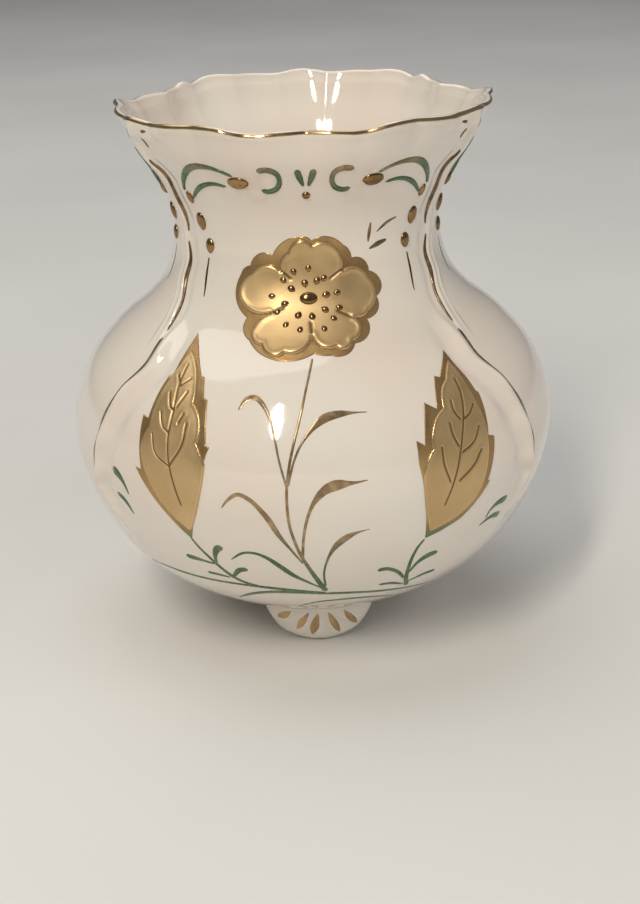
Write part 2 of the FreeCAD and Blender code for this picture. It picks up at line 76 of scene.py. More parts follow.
# Small steps of the rim: (azimuth, rise, half width in degrees)
RIM_STEPS = [(134.0, 1.7, 3.0), (-134.0, 1.7, 3.0)]
CORNERS = ((1.0, 0.0), (-1.0, 0.0), (1.0, 120.0))    # (flip, turn) of each corner from the right one
ROW_STEP = 1.0              # height between two rows of the body's mesh
# Azimuth between its columns: (distance from a corner line up to which it holds, step)
COLUMN_STEPS = [(2.4, 0.16), (15.0, 0.4), (180.0, 1.2)]
BEND_REACH = 15.0           # distance over which the columns follow the wavy corner lines
LINE_MIDDLE = 56.5          # azimuth round which a corner line waves

# Corner ridges: (azimuth, height) of the right corner's path, upwards
CORNER_PATH = [
    (63.0, 63.0), (60.6, 69.0), (60.2, 74.0), (58.2, 81.0), (56.4, 89.0), (54.2, 96.0),
    (50.6, 103.0), (52.0, 111.0), (53.6, 118.0), (57.0, 125.0), (56.4, 131.0), (58.6, 139.6),
    (57.4, 144.0), (58.4, 151.0), (56.4, 158.0), (60.0, 164.0),
]
# Gold line of the corner: three stretches of the path, downwards, with their widths
UPPER_CORNER_LINE = [
    (CORNER_PATH[:10:-1], (0.5, 1.2, 0.5)),
    ([(58.4, 137.0)] + CORNER_PATH[10:6:-1], (0.5, 1.3, 0.6)),
]
LOWER_CORNER_LINE = [
    ([(51.6, 109.6)] + CORNER_PATH[6::-1], (0.6, 1.3, 0.8, 1.4, 0.8, 1.4, 0.5)),
]
# Small gold marks on the rim's ornament
RIM_MARKS = [
    ([(56.8, 170.6), (56.4, 167.4)], (0.9, 1.4, 0.8)), ([(62.6, 173.2), (61.6, 170.4)], (0.6, 1.1, 0.5)),
    ([(53.0, 173.6), (55.4, 172.9)], (0.6, 1.0, 0.5)),
]
# Rolls and knobs of the rim's ornament: (azimuth, height, half width, half height, relief)
RIM_KNOBS = [
    (54.0, 171.6, 3.4, 2.4, 1.0), (60.5, 172.0, 3.8, 3.4, 1.9), (58.6, 164.0, 2.0, 3.2, 0.8),
    (49.0, 172.8, 2.4, 1.7, 0.8), (66.0, 172.4, 2.2, 1.9, 0.8),
]

PATH_BOTTOM = CORNER_PATH[0][1]
PATH_TOP = CORNER_PATH[-1][1]
# Relief of a corner in mm, and the height between two lobes of its roll
ROLL_RELIEF = 1.8
LOBE_PITCH = 14.5
CREASE_RELIEF = 0.35
VALLEY_RELIEF = 0.85
RIB_RELIEF = 0.9
RIB_EDGE_RELIEF = 0.35
GROOVE_RELIEF = 0.3
FAR = 99.0                  # a distance beyond the reach of any relief

# Feet: horizontal sections (height, inner radius, outer radius, half width)
FOOT_TOP = 15.4
FOOT_SECTIONS = [
    (0.0, 26.5, 32.5, 4.6), (1.6, 25.4, 34.0, 8.8), (4.0, 24.2, 35.4, 12.8),
    (7.5, 22.8, 36.8, 15.6), (11.5, 21.6, 38.2, 17.6), (FOOT_TOP, 21.0, 40.0, 18.8),
]
FOOT_TURNS = {"front": 0.0, "right": 120.0, "left": -120.0}
# Gold dashes of a foot: upper and lower end (x, height) and half width
FOOT_DASHES = [
    ((-9.4, 13.4), (-13.8, 10.2), 1.6), ((-3.6, 13.2), (-7.5, 5.8), 1.3),
    ((-0.5, 12.8), (-2.5, 3.4), 1.6), ((3.1, 13.2), (6.6, 4.3), 1.3),
    ((8.2, 13.6), (12.5, 6.6), 1.2),
]
DASH_LIFT = 0.3
FOOT_FLUTE = 30.0           # angle between two flutes of the shell
FLUTE_RELIEF = 0.42

# Raised motifs: plane of each one (azimuth and height of its centre, lean), outline (x, y, bulge)
GILT = 0.15                 # thickness of the gold under a raised face
BORDER_RELIEF = 0.16
PETAL_RELIEF = 0.7
LEAF_RELIEF = 0.35
FLOWER = (0.0, 124.0, 26.0)
FLOWER_BORDER = [
    (1.2, 16.1, 0.35), (10.8, 15.0, 0.32), (13.2, 11.5, 0.56), (18.4, 8.0, 0.68),
    (20.6, 0.3, 0.50), (17.4, -7.1, 0.55), (13.4, -15.1, 0.48), (6.1, -19.0, 0.11),
    (0.8, -18.3, 0.27), (-13.2, -18.9, 0.19), (-18.5, -12.9, 0.42), (-19.1, -5.4, 0.38),
    (-20.6, 8.3, 0.36), (-17.6, 10.5, 0.58), (-10.8, 12.7, 0.33), (-2.0, 17.1, 0.33),
]
FLOWER_PETALS = [
    (1.2, 14.3, 0.46), (9.4, 11.7, 0.27), (9.7, 7.8, 0.48), (17.1, 5.8, 0.46),
    (16.9, -4.5, 0.37), (13.0, -6.5, 0.65), (12.0, -13.7, 0.66), (7.3, -15.7, 0.5),
    (0.4, -12.0, 0.5), (-7.4, -17.0, 0.62), (-13.9, -14.2, 0.62), (-16.1, -8.7, 0.2),
    (-11.5, -4.6, 0.34), (-19.2, -1.0, 0.51), (-16.2, 7.7, 0.5), (-7.8, 7.7, 0.45),
    (-5.6, 12.7, 0.62),
]
PETAL_SCALE = 1.055         # growth of the petals over their table, to leave a narrow gold border
# Seams between petals, from the notch of the outline towards the middle
PETAL_SEAMS = [
    [(9.7, 8.0), (6.4, 5.4)], [(12.7, -6.9), (8.4, -4.8)], [(0.4, -11.9), (0.2, -8.4)],
    [(-11.5, -4.8), (-8.0, -3.4)], [(-7.8, 8.1), (-5.4, 5.6)],
]
RIGHT_LEAF = (34.0, 79.0, 12.0)
RIGHT_LEAF_BORDER = [
    (7.2, 30.6, 0.03), (11.3, 17.2, 0.0), (12.2, 16.4, 0.06), (11.6, 3.4, 0.0),
    (14.1, 2.5, 0.08), (10.5, -11.1, 0.0), (11.6, -10.9, 0.12), (0.5, -21.2, 0.04),
    (-11.2, -24.6, 0.0), (-15.3, 0.7, 0.0), (-14.9, 7.6, 0.0), (-12.4, 5.6, 0.06),
    (-8.7, 17.7, 0.0), (-5.4, 15.2, 0.05), (-1.3, 24.2, 0.0), (0.3, 23.4, 0.0),
]
RIGHT_LEAF_FACE = [
    (6.3, 27.5, 0.04), (9.3, 15.7, 0.09), (11.1, 2.1, 0.1), (7.9, -11.9, 0.17),
    (-1.0, -19.7, 0.05), (-10.3, -22.4, 0.1), (-14.2, -4.3, 0.2), (-10.2, 4.0, 0.33),
    (-3.4, 14.8, 0.28), (1.7, 22.4, 0.08),
]
RIGHT_LEAF_VEINS = [
    [(-6.6, -14.1), (-2.9, -5.1), (-0.3, 2.9), (3.5, 12.8), (4.8, 17.6), (4.9, 21.8)],
    [(-7.2, 4.0), (-7.1, -1.2), (-5.2, -7.0)], [(-2.7, 10.4), (-2.6, 6.7), (-1.2, 3.1)],
    [(0.2, 16.3), (0.0, 13.1), (1.4, 10.5)], [(7.4, 0.1), (4.1, -3.9), (-1.7, -7.6)],
    [(7.9, 7.1), (4.9, 3.1), (0.0, 0.9)], [(8.0, 13.7), (5.5, 11.4), (2.6, 10.2)],
]
LEFT_LEAF = (-34.0, 82.0, 14.0)
LEFT_LEAF_BORDER = [
    (-4.9, 35.8, 0.0), (4.2, 24.1, 0.0), (5.5, 23.8, 0.0), (8.2, 18.1, 0.0),
    (9.6, 17.7, 0.04), (12.9, 4.8, 0.0), (14.2, 4.3, 0.0), (13.4, 1.7, 0.05),
    (5.7, -26.4, 0.06), (-13.0, -6.3, 0.0), (-10.5, -6.8, 0.05), (-11.9, 10.0, 0.0),
    (-9.6, 9.3, 0.04), (-7.4, 22.9, 0.0), (-6.2, 21.8, 0.02),
]
LEFT_LEAF_FACE = [
    (-3.3, 30.5, 0.16), (4.5, 20.7, 0.1), (5.8, 16.0, 0.34), (10.2, 4.8, 0.1),
    (13.4, -1.2, 0.13), (6.3, -23.4, 0.13), (-6.9, -9.7, 0.1), (-10.5, -1.3, 0.2),
    (-8.4, 7.1, 0.1), (-5.3, 24.7, 0.05),
]
LEFT_LEAF_VEINS = [
    [(5.0, -14.7), (1.5, -3.7), (0.0, 4.0), (-0.4, 13.1), (-1.8, 20.7), (-1.9, 26.1)],
    [(-6.3, 5.2), (-4.1, -0.5), (1.2, -3.6)], [(5.4, 10.0), (5.2, 3.5), (1.2, -3.6)],
    [(-4.8, 11.9), (-3.0, 8.1), (-0.5, 6.4)], [(-3.8, 17.6), (-1.9, 13.8), (-0.4, 13.1)],
    [(3.5, 12.4), (2.5, 9.5)], [(2.2, 18.6), (0.4, 13.9)],
    [(-3.5, 23.1), (-1.1, 19.9)], [(1.5, 22.5), (-1.1, 19.9)],
]
# Raised droplets in the flower's middle, by place in its plane
INNER_DROPS = [
    (-1.2, 4.0), (2.4, 4.7), (5.0, 0.4), (4.6, -4.3), (0.7, -6.4), (-3.4, -5.9),
    (-7.3, -2.0), (-5.2, 2.5),
]
OUTER_DROPS = [
    (0.0, 8.4), (4.5, 5.4), (8.3, 1.0), (8.9, -3.7), (7.1, -7.2), (4.2, -10.5), (-3.0, -10.6),
    (-7.2, -8.8), (-9.7, -4.6), (-11.1, 0.6), (-7.5, 5.2), (-4.4, 7.6),
]
DROP_CENTRE = (-0.2, -0.6)
# Droplets: (half width, half height, pull to a point, lift)
CENTRE_DROP = (2.8, 2.0, 0.0, 1.0)
INNER_DROP = (1.1, 1.35, 0.45, 0.75)
OUTER_DROP = (1.0, 1.2, 0.45, 0.65)
DROP_BASE = 0.62            # height of the petals under the droplets

# A stroke is its (azimuth, height) points and its widths at even shares of its length
FLOWER_STEM = [
    ([(0.4, 109.0), (-1.4, 102.4), (-2.9, 95.5), (-4.2, 89.3), (-5.3, 82.8), (-6.0, 75.7),
      (-6.1, 69.6), (-5.8, 62.9), (-5.0, 57.6), (-3.6, 51.2), (-1.3, 44.1), (2.1, 34.8)],
     (0.8, 0.9, 1.0, 1.2, 2.2)),
]
FLOWER_LEAVES = [
    ([(-6.0, 75.3), (-6.7, 78.9), (-7.7, 84.1), (-8.6, 89.3), (-10.3, 95.4), (-13.3, 99.3),
      (-16.0, 99.3), (-17.9, 96.1)], (0.8, 0.8, 0.8, 0.8, 0.8, 1.0, 1.7, 1.9, 0.5)),
    ([(-5.8, 75.7), (-4.5, 82.8), (-2.8, 88.0), (-0.2, 92.1), (2.6, 94.6), (5.9, 95.5),
      (9.3, 95.6), (13.1, 95.4)], (0.8, 0.8, 0.8, 0.9, 1.6, 3.0, 2.5, 0.8, 0.4)),
    ([(-3.4, 50.3), (-2.8, 59.4), (-1.7, 66.3), (-0.2, 71.1), (2.1, 74.6), (4.4, 75.9),
      (7.0, 76.2), (9.3, 76.4), (11.6, 76.8)], (1.1, 1.0, 1.0, 1.1, 1.4, 2.8, 3.7, 1.2, 0.4)),
    ([(-3.3, 48.1), (-5.9, 54.0), (-8.3, 59.3), (-10.3, 64.9), (-12.5, 69.1), (-14.4, 71.5),
      (-16.8, 72.7), (-19.0, 70.7), (-20.9, 67.3)], (0.8, 0.9, 1.3, 2.0, 2.1, 1.7, 1.5, 1.2, 0.4)),
    ([(1.6, 36.2), (-2.1, 39.5), (-6.0, 43.2), (-9.1, 47.2), (-11.7, 50.3), (-14.4, 51.9),
      (-17.3, 51.6), (-21.1, 47.9)], (0.8, 1.0, 1.6, 2.1, 2.1, 1.6, 1.2, 1.0, 0.4)),
    ([(1.9, 37.4), (1.5, 43.9), (2.4, 50.0), (4.0, 54.6), (6.2, 57.6), (8.5, 59.3),
      (12.2, 60.4)], (0.9, 0.8, 0.8, 0.9, 1.3, 2.5, 2.4, 0.8, 0.4)),
]
BASE_VINE = [
    ([(-54.0, 35.2), (-46.0, 36.2), (-38.0, 36.4), (-30.0, 36.6), (-23.0, 36.8), (-16.0, 36.7),
      (-8.0, 35.9), (2.2, 33.8)], (0.5, 1.1, 0.9, 1.2, 1.4)),
    ([(-25.4, 27.4), (-19.0, 31.9), (-13.2, 34.1), (-7.7, 34.6), (-2.0, 34.2), (3.4, 33.4)],
     (0.5, 1.2, 1.5, 1.3, 1.2)),
    ([(2.2, 33.7), (9.6, 32.9), (16.2, 31.8), (24.8, 30.2), (33.0, 28.6), (40.0, 27.2)],
     (1.4, 1.2, 0.5)),
    ([(-7.0, 24.0), (-0.5, 27.8), (6.0, 28.8), (13.0, 28.6), (20.0, 27.0), (26.0, 24.8)],
     (0.5, 1.4, 0.5)),
]
LEFT_BRANCH = [
    ([(-30.1, 55.0), (-28.4, 51.0), (-26.5, 47.5), (-24.6, 44.1), (-22.2, 40.6), (-19.3, 38.2),
      (-15.0, 36.8)], (0.7, 1.0, 1.2, 1.3, 0.8)),
    ([(-22.0, 52.9), (-23.5, 52.2), (-24.7, 49.3), (-25.2, 45.4)], (2.1, 1.9, 1.1, 0.8)),
    ([(-17.1, 44.7), (-19.4, 43.9), (-21.1, 41.6), (-22.4, 39.4)], (1.7, 1.7, 1.2, 0.8)),
    ([(-33.8, 46.2), (-31.1, 46.0), (-28.4, 45.6), (-25.6, 45.1)], (1.9, 1.7, 1.0, 0.8)),
    ([(-29.4, 40.4), (-25.9, 40.2), (-22.7, 39.7)], (1.2, 1.1, 0.6)),
]
RIGHT_BRANCH = [
    ([(25.6, 53.0), (24.2, 49.9), (23.4, 45.6), (23.4, 40.4), (24.1, 35.9), (26.0, 31.4)],
     (0.7, 1.0, 1.1, 1.3, 1.4)),
    ([(30.8, 45.6), (28.0, 45.2), (25.5, 43.0), (23.9, 38.7)], (1.6, 2.1, 1.2, 0.6)),
    ([(33.1, 36.6), (29.1, 36.0), (25.2, 34.2)], (1.5, 1.5, 0.7)),
    ([(14.7, 42.9), (17.4, 42.9), (20.5, 40.6), (23.4, 36.4)], (1.7, 1.3, 1.1, 0.8)),
    ([(16.2, 35.6), (20.0, 35.2), (24.4, 33.0)], (1.1, 1.3, 0.7)),
]
COMMAS = [
    ([(-52.4, 71.1), (-50.3, 70.7), (-48.2, 68.3), (-46.8, 64.2)], (2.1, 1.7, 0.9, 0.4)),
    ([(-52.0, 63.2), (-49.2, 61.3), (-47.0, 56.9)], (1.1, 1.2, 0.3)),
    ([(51.4, 56.9), (47.6, 57.2), (44.9, 55.6), (43.8, 52.6)], (1.8, 1.6, 0.9, 0.4)),
    ([(50.3, 51.2), (47.1, 52.5), (44.4, 52.0), (42.0, 50.6)], (1.6, 1.4, 0.9, 0.3)),
]
BIRD_FOOT_MARK = [
    ([(25.9, 145.1), (25.6, 141.8), (25.2, 138.2)], (0.5, 1.3, 0.4)),
    ([(38.6, 145.2), (33.7, 144.0), (28.5, 141.1)], (0.6, 1.2, 0.4)),
    ([(34.2, 138.5), (30.1, 137.7), (25.2, 136.3)], (0.9, 1.8, 0.4)),
]
# Half of a panel's neck scroll; the other half is its mirror image
HALF_SCROLL = [
    ([(50.0, 154.5), (47.4, 158.0), (42.3, 161.9), (37.8, 163.7), (32.6, 163.8), (28.2, 163.0),
      (24.0, 161.5)], (0.7, 1.6, 1.9, 1.2, 0.7)),
    ([(47.2, 152.0), (42.6, 155.2), (38.0, 157.4), (33.1, 158.3), (28.0, 157.8)],
     (0.6, 1.3, 1.2, 0.7)),
    ([(15.5, 164.0), (12.2, 164.5), (9.3, 163.1), (8.6, 160.5), (9.9, 158.0), (12.8, 157.0),
      (15.3, 157.5)], (1.7, 1.7, 1.2, 1.5, 1.3)),
    ([(2.8, 164.3), (1.9, 161.3), (0.8, 158.6)], (1.6, 1.5, 0.6)),
]
# Raised beads of half a panel: (azimuth, height, half width, half height)
HALF_BEADS = [
    (23.0, 159.4, 3.4, 2.4), (48.6, 152.4, 1.2, 2.3), (47.3, 144.5, 2.0, 3.1),
    (44.1, 137.0, 1.8, 2.5),
]
MIDDLE_BEAD = (0.0, 155.6, 1.25, 1.25)
MIDDLE_BEAD_LIFT = 0.9
BEAD_LIFT = 0.95
BEAD_PULL = 0.15
HALF_BEAD_TAIL = ([(44.8, 133.6), (45.2, 128.0), (43.8, 121.0)], (0.4, 0.6, 0.3))

STROKE_LIFT = 0.13          # height of a painted stroke's crown
ENAMEL_LIFT = 0.5           # height of the neck's raised scroll strokes
LINE_LIFT = 0.3             # height of the gold lines on the corners
SINK = 0.05                 # depth to which edges reach into the glaze
DEEP_SINK = 3 * SINK        # the same under a whole stroke or droplet
PLATE_STEP = 0.42           # spacing of the points inside a raised plate
LEAF_STEP = 0.3             # the same inside a leaf, for its fine veins
OUTLINE_STEP = 0.4
MM = 0.001

# Growth of the strokes' widths, for thick enamel
SCROLL_SWELL = 1.3
UPPER_LINE_SWELL = 1.2
LOWER_LINE_SWELL = 1.9
TAIL_SWELL = 1.7
# Painted strokes of the front: (piece, CAD node, strokes, growth of their widths, finish)
FRONT_STROKES = [
    ("stem", "flower_stem", FLOWER_STEM, 1.0, "belly"),
    ("stem_leaves", "flower_leaves", FLOWER_LEAVES, 1.0, "belly"),
    ("vine_at_base", "base_vine", BASE_VINE, 1.55, "belly"),
    ("twig_left", "branch_left", LEFT_BRANCH, 1.35, "belly"),
    ("twig_right", "branch_right", RIGHT_BRANCH, 1.35, "belly"),
    ("commas", "comma_strokes", COMMAS, 1.8, "green_reflection"),
    ("bird_foot", "bird_foot_mark", BIRD_FOOT_MARK, 1.0, "dark_reflection"),
]
# Corner lines: (name, turn, mirrored)
CORNER_LINES = [("right", 0.0, False), ("left", 0.0, True), ("back", 120.0, False)]
LEAVES = [
    ("right", RIGHT_LEAF, RIGHT_LEAF_BORDER, RIGHT_LEAF_FACE, RIGHT_LEAF_VEINS),
    ("left", LEFT_LEAF, LEFT_LEAF_BORDER, LEFT_LEAF_FACE, LEFT_LEAF_VEINS),
]

# Colours, as linear light
GLAZE_WARM = (0.80, 0.71, 0.62)
GLAZE_COOL = (0.80, 0.745, 0.665)
GLAZE_PINK = (0.80, 0.68, 0.62)
SPECK = (0.22, 0.13, 0.08)
BISQUE = (0.66, 0.58, 0.50)
BRIGHT_GOLD_DARK = (0.42, 0.28, 0.14)
BRIGHT_GOLD_LIGHT = (0.68, 0.50, 0.27)
# Gold of the droplets and beads, darkened as a painted dark reflection
DROP_REFLECTION_DARK = (0.19, 0.115, 0.05)
DROP_REFLECTION_LIGHT = (0.38, 0.24, 0.11)
WORN_GOLD = (0.55, 0.46, 0.34)
BORDER_GOLD_DARK = (0.34, 0.20, 0.08)
BORDER_GOLD_LIGHT = (0.52, 0.34, 0.15)
MATTE_GOLD_DARK = (0.56, 0.38, 0.18)
MATTE_GOLD_LIGHT = (0.68, 0.48, 0.25)
MATTE_GOLD_GRAIN = (0.70, 0.52, 0.26)
# Darkening of the engraved grooves: painted shade
GROOVE_SHADE_BROWN = (0.13, 0.08, 0.035)
LINE_GOLD_DARK = (0.22, 0.14, 0.07)
LINE_GOLD_LIGHT = (0.44, 0.31, 0.17)
# Gold of the corner lines, darkened as a painted dark reflection
RIDGE_REFLECTION_DARK = (0.10, 0.065, 0.035)
RIDGE_REFLECTION_LIGHT = (0.26, 0.17, 0.09)
# Painted green reflection, mixed into the gold of the strokes and of the borders' lower parts
GREEN_REFLECTION_DARK = (0.065, 0.13, 0.065)
GREEN_REFLECTION_LIGHT = (0.14, 0.21, 0.115)
FLOOR_PALE = (0.70, 0.69, 0.67)
FLOOR_PALER = (0.76, 0.75, 0.73)

FLOOR_RADII = (60.0, 400.0, 1500.0, 4000.0, 7000.0)

# Lights: (name, place, aim, (width, height), power, colour, mirrored by the glaze), in metres and watts
SOFTBOXES = [
    ("key", (-0.42, -1.1, 1.2), (0.0, 0.0, 0.09), (0.15, 0.95), 13.0, (1.0, 0.93, 0.80), True),
    ("fill", (1.7, -1.3, 1.3), (0.0, 0.0, 0.09), (2.6, 2.0), 14.0, (1.0, 0.98, 0.95), False),
    ("top", (-0.4, 0.5, 1.7), (0.0, 0.0, 0.1), (2.0, 2.0), 14.0, (1.0, 0.98, 0.95), True),
]
LIGHT_LEAN = 7.0            # turn of each softbox in its own plane, degrees
WORLD_COLOUR = (0.86, 0.88, 0.90, 1.0)
WORLD_STRENGTH = 0.22

# Camera, in metres and degrees, with its sensor and lens in millimetres
CAMERA_SENSOR = 36.0
CAMERA_LENS = 63.716814
CAMERA_PLACE = (0.0, -0.5141, 0.2568)
CAMERA_PITCH = 21.39
CAMERA_ROLL = -1.8
CAMERA_SHIFT = 0.0065


def hermite(points, at):
    """Smooth values at the places in at, of a curve through points (x, y) with x rising."""
    x, y = np.array(points, float).T
    at = np.asarray(at, float)
    slope = np.gradient(y)
    slope[1:-1] = (y[2:] - y[:-2]) / (x[2:] - x[:-2])
    slope[0] = (y[1] - y[0]) / (x[1] - x[0])
    slope[-1] = (y[-1] - y[-2]) / (x[-1] - x[-2])
    i = np.clip(np.searchsorted(x, at, side="right") - 1, 0, len(x) - 2)
    span = x[i + 1] - x[i]
    t = (at - x[i]) / span
    return (
        y[i] * (2 * t ** 3 - 3 * t ** 2 + 1)
        + slope[i] * span * (t ** 3 - 2 * t ** 2 + t)
        + y[i + 1] * (3 * t ** 2 - 2 * t ** 3)
        + slope[i + 1] * span * (t ** 3 - t ** 2)
    )


def smooth(low, high, value):
    """0 below low, 1 above high, with a smooth step between them."""
    t = np.clip((np.asarray(value, float) - low) / (high - low), 0.0, 1.0)
    return t * t * (3 - 2 * t)


def radius_at(height):
    return hermite(PROFILE, height)


def slope_at(height):
    step = 0.5
    low = np.clip(height - step, UNDERSIDE, LIP_HEIGHT)
    high = np.clip(height + step, UNDERSIDE, LIP_HEIGHT)
    return (radius_at(high) - radius_at(low)) / (high - low)


def waves(amplitudes, azimuth):
    angle = np.radians(azimuth)
    return sum(size * np.cos(order * angle) for order, size in amplitudes.items())


def scallops(azimuth):
    """Rounded lobes between sharp valleys, from -1 to 1."""
    turn = np.radians(azimuth) * SCALLOPS / 2
    return 2 * np.sqrt(np.sin(turn) ** 2 + 0.01) - 1


def rim_steps(azimuth):
    return sum(
        rise * np.exp(-((wrapped(azimuth - middle)) / width) ** 2) for middle, rise, width in RIM_STEPS
    )


def rim_share(height):
    t = (np.asarray(height, float) - RIM_FADE_START) / (LIP_HEIGHT - RIM_FADE_START)
    return np.maximum(t, 0.0) ** 2


def place(azimuth, height, radius, share):
    """Points (n, 3) at a radius and height, moved by the rim's waves."""
    ripple = waves(RIM_RADIUS_WAVES, azimuth) + SCALLOP_DEPTH * scallops(azimuth)
    radius = radius + share * ripple
    height = height + share * waves(RIM_HEIGHT_WAVES, azimuth) + share ** 6 * rim_steps(azimuth)
    angle = np.radians(azimuth)
    return np.stack(np.broadcast_arrays(radius * np.sin(angle), -radius * np.cos(angle), height), -1)


def wrapped(azimuth):
    return (azimuth + 180.0) % 360.0 - 180.0


def line_azimuth(height):
    """Azimuth of the right corner's line at a height."""
    levels = [(level, azimuth) for azimuth, level in CORNER_PATH]
    azimuth = hermite(levels, np.clip(height, PATH_BOTTOM, PATH_TOP))
    return azimuth - 0.5 * np.clip(PATH_BOTTOM - height, 0.0, 26.0)


def corner_relief(local, height):
    """Relief in mm of one corner ridge; local is the azimuth seen as if from the right corner."""
    line = line_azimuth(height)
    across = np.radians(local - line) * radius_at(np.clip(height, UNDERSIDE, LIP_HEIGHT))
    across = np.where(np.abs(local - line) < 40.0, across, FAR)
    neck = smooth(104.0, 118.0, height)
    lobes = 0.8 + 0.2 * np.cos(2 * math.pi * (height - 66.0) / LOBE_PITCH)
    fade = smooth(44.0, 68.0, height)
    roll = ROLL_RELIEF * lobes * np.exp(-((across + 3.2) / 2.1) ** 2) * smooth(0.6, -1.4, across)
    crease = CREASE_RELIEF * np.exp(-(np.clip(-across, 0, FAR) / 4.0) ** 2) * smooth(0.6, -0.6, across)
    valley = -VALLEY_RELIEF * np.exp(-((across + 9.0) / 2.8) ** 2)
    belly = (roll + crease + valley) * fade * (1 - neck)
    rib = RIB_RELIEF * smooth(-0.5, 0.9, across) * smooth(5.6, 3.6, across)
    edges = np.exp(-((across - 1.2) / 0.8) ** 2) + np.exp(-((across - 4.0) / 0.8) ** 2)
    groove = -GROOVE_RELIEF * np.exp(-((across + 2.2) / 1.4) ** 2)
    top = smooth(172.5, 168.0, height)
    return belly + (rib + RIB_EDGE_RELIEF * edges + groove) * neck * top


def relief(azimuth, height):
    """Height in mm of the moulded relief above the plain body."""
    azimuth, height = np.broadcast_arrays(np.asarray(azimuth, float), np.asarray(height, float))
    total = np.zeros(azimuth.shape)
    for flip, turn in CORNERS:
        local = wrapped(flip * (azimuth - turn))
        total = total + corner_relief(local, height)
        for middle, level, half_width, half_height, size in RIM_KNOBS:
            across = np.radians(local - middle) * radius_at(level)
            spread = (across / half_width) ** 2 + ((height - level) / half_height) ** 2
            total = total + size * np.exp(-1.6 * spread)
    return total


def surface(azimuth, height):
    """Points of the outside, with its relief."""
    azimuth, height = np.broadcast_arrays(np.asarray(azimuth, float), np.asarray(height, float))
    slope = slope_at(height)
    length = np.hypot(1.0, slope)
    bump = relief(azimuth, height)
    radius = radius_at(height) + bump / length
    return place(azimuth, height - bump * slope / length, radius, rim_share(height))


def unit(vectors):
    return vectors / np.linalg.norm(vectors, axis=-1, keepdims=True)


def surface_normal(azimuth, height):
    step = 0.25
    around = surface(azimuth + step, height) - surface(azimuth - step, height)
    up = surface(azimuth, height + step) - surface(azimuth, height - step)
    return unit(np.cross(around, up))


# Scale from the model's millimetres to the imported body
BODY_LOW, BODY_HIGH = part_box("vase_body")
ALL_AZIMUTHS = np.arange(0.0, 360.0, 1.0)
RIM_TOP = place(ALL_AZIMUTHS, LIP_HEIGHT, LIP_CENTRE, 1.0)[:, 2].max()
HEIGHT_SCALE = (BODY_HIGH.z - BODY_LOW.z) / (RIM_TOP - UNDERSIDE)
WIDTH_SCALE = (BODY_HIGH.x - BODY_LOW.x) / (2 * max(radius for _, radius in PROFILE))
ORIGIN_Z = BODY_LOW.z - UNDERSIDE * HEIGHT_SCALE


def to_frame(points):
    """Millimetres of this script to metres of the row frame."""
    points = np.asarray(points, float)
    return points * [WIDTH_SCALE, WIDTH_SCALE, HEIGHT_SCALE] + [0.0, 0.0, ORIGIN_Z]


def add_piece(name, points, faces, material, nodes):
    mesh = bpy.data.meshes.new(name)
    mesh.from_pydata(to_frame(points).tolist(), [], [list(face) for face in faces])
    mesh.polygons.foreach_set("use_smooth", [True] * len(mesh.polygons))
    mesh.update()
    mesh.materials.append(material)
    piece = bpy.data.objects.new(name, mesh)
    bpy.context.scene.collection.objects.link(piece)
    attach(piece, "root")
    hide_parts(*nodes)
    return piece


class Build:
    """Gathers grids and loose faces into one mesh."""

    def __init__(self):
        self.points = []
        self.faces = []
        self.count = 0

    def add(self, points, faces):
        points = np.asarray(points, float).reshape(-1, 3)
        self.points.append(points)
        self.faces += [[index + self.count for index in face] for face in faces]
        self.count += len(points)

    def grid(self, points, wrap_rows=False, wrap_columns=False):
        """Quads over points (rows, columns, 3), facing along row direction cross column direction."""
        rows, columns = points.shape[:2]
        number = np.arange(rows * columns).reshape(rows, columns)
        if wrap_rows:
            number = np.concatenate([number, number[:1]])
        if wrap_columns:
            number = np.concatenate([number, number[:, :1]], axis=1)
        corners = (number[:-1, :-1], number[1:, :-1], number[1:, 1:], number[:-1, 1:])
        self.add(points, np.stack(corners, -1).reshape(-1, 4).tolist())

    def fan(self, ring, middle, flip=False):
        """Triangles from a ring of vertex numbers to a new vertex in its middle."""
        self.points.append(np.asarray(middle, float).reshape(1, 3))
        for a, b in zip(ring, ring[1:] + ring[:1]):
            self.faces.append([b, a, self.count] if flip else [a, b, self.count])
        self.count += 1

    def tube(self, points):
        """Closed tube over points (rings, points of a ring, 3), with its two ends filled."""
        start = self.count
        rings, size = points.shape[:2]
        self.grid(points, wrap_columns=True)
        self.faces.append(list(range(start, start + size)))
        last = start + (rings - 1) * size
        self.faces.append(list(range(last, last + size))[::-1])

    def piece(self, name, material, slot, nodes):
        return add_piece(name, np.concatenate(self.points), self.faces, material, nodes)


def columns_round():
    """Azimuths of the body's columns, closer together near the corner lines."""
    azimuths = []
    azimuth = 0.0
    while azimuth < 359.9:
        azimuths.append(azimuth)
        gap = min(abs(wrapped(azimuth - turn - flip * LINE_MIDDLE)) for flip, turn in CORNERS)
        azimuth += next(step for reach, step in COLUMN_STEPS if gap < reach)
    return np.array(azimuths)


def bent_columns(azimuths, height):
    """The columns' azimuths at a height, drawn aside to follow the corner lines."""
    moved = azimuths.copy()
    for flip, turn in CORNERS:
        gap = np.abs(wrapped(flip * (azimuths - turn)) - LINE_MIDDLE)
        moved += flip * (line_azimuth(height) - LINE_MIDDLE) * smooth(BEND_REACH, 2.5, gap)
    return moved


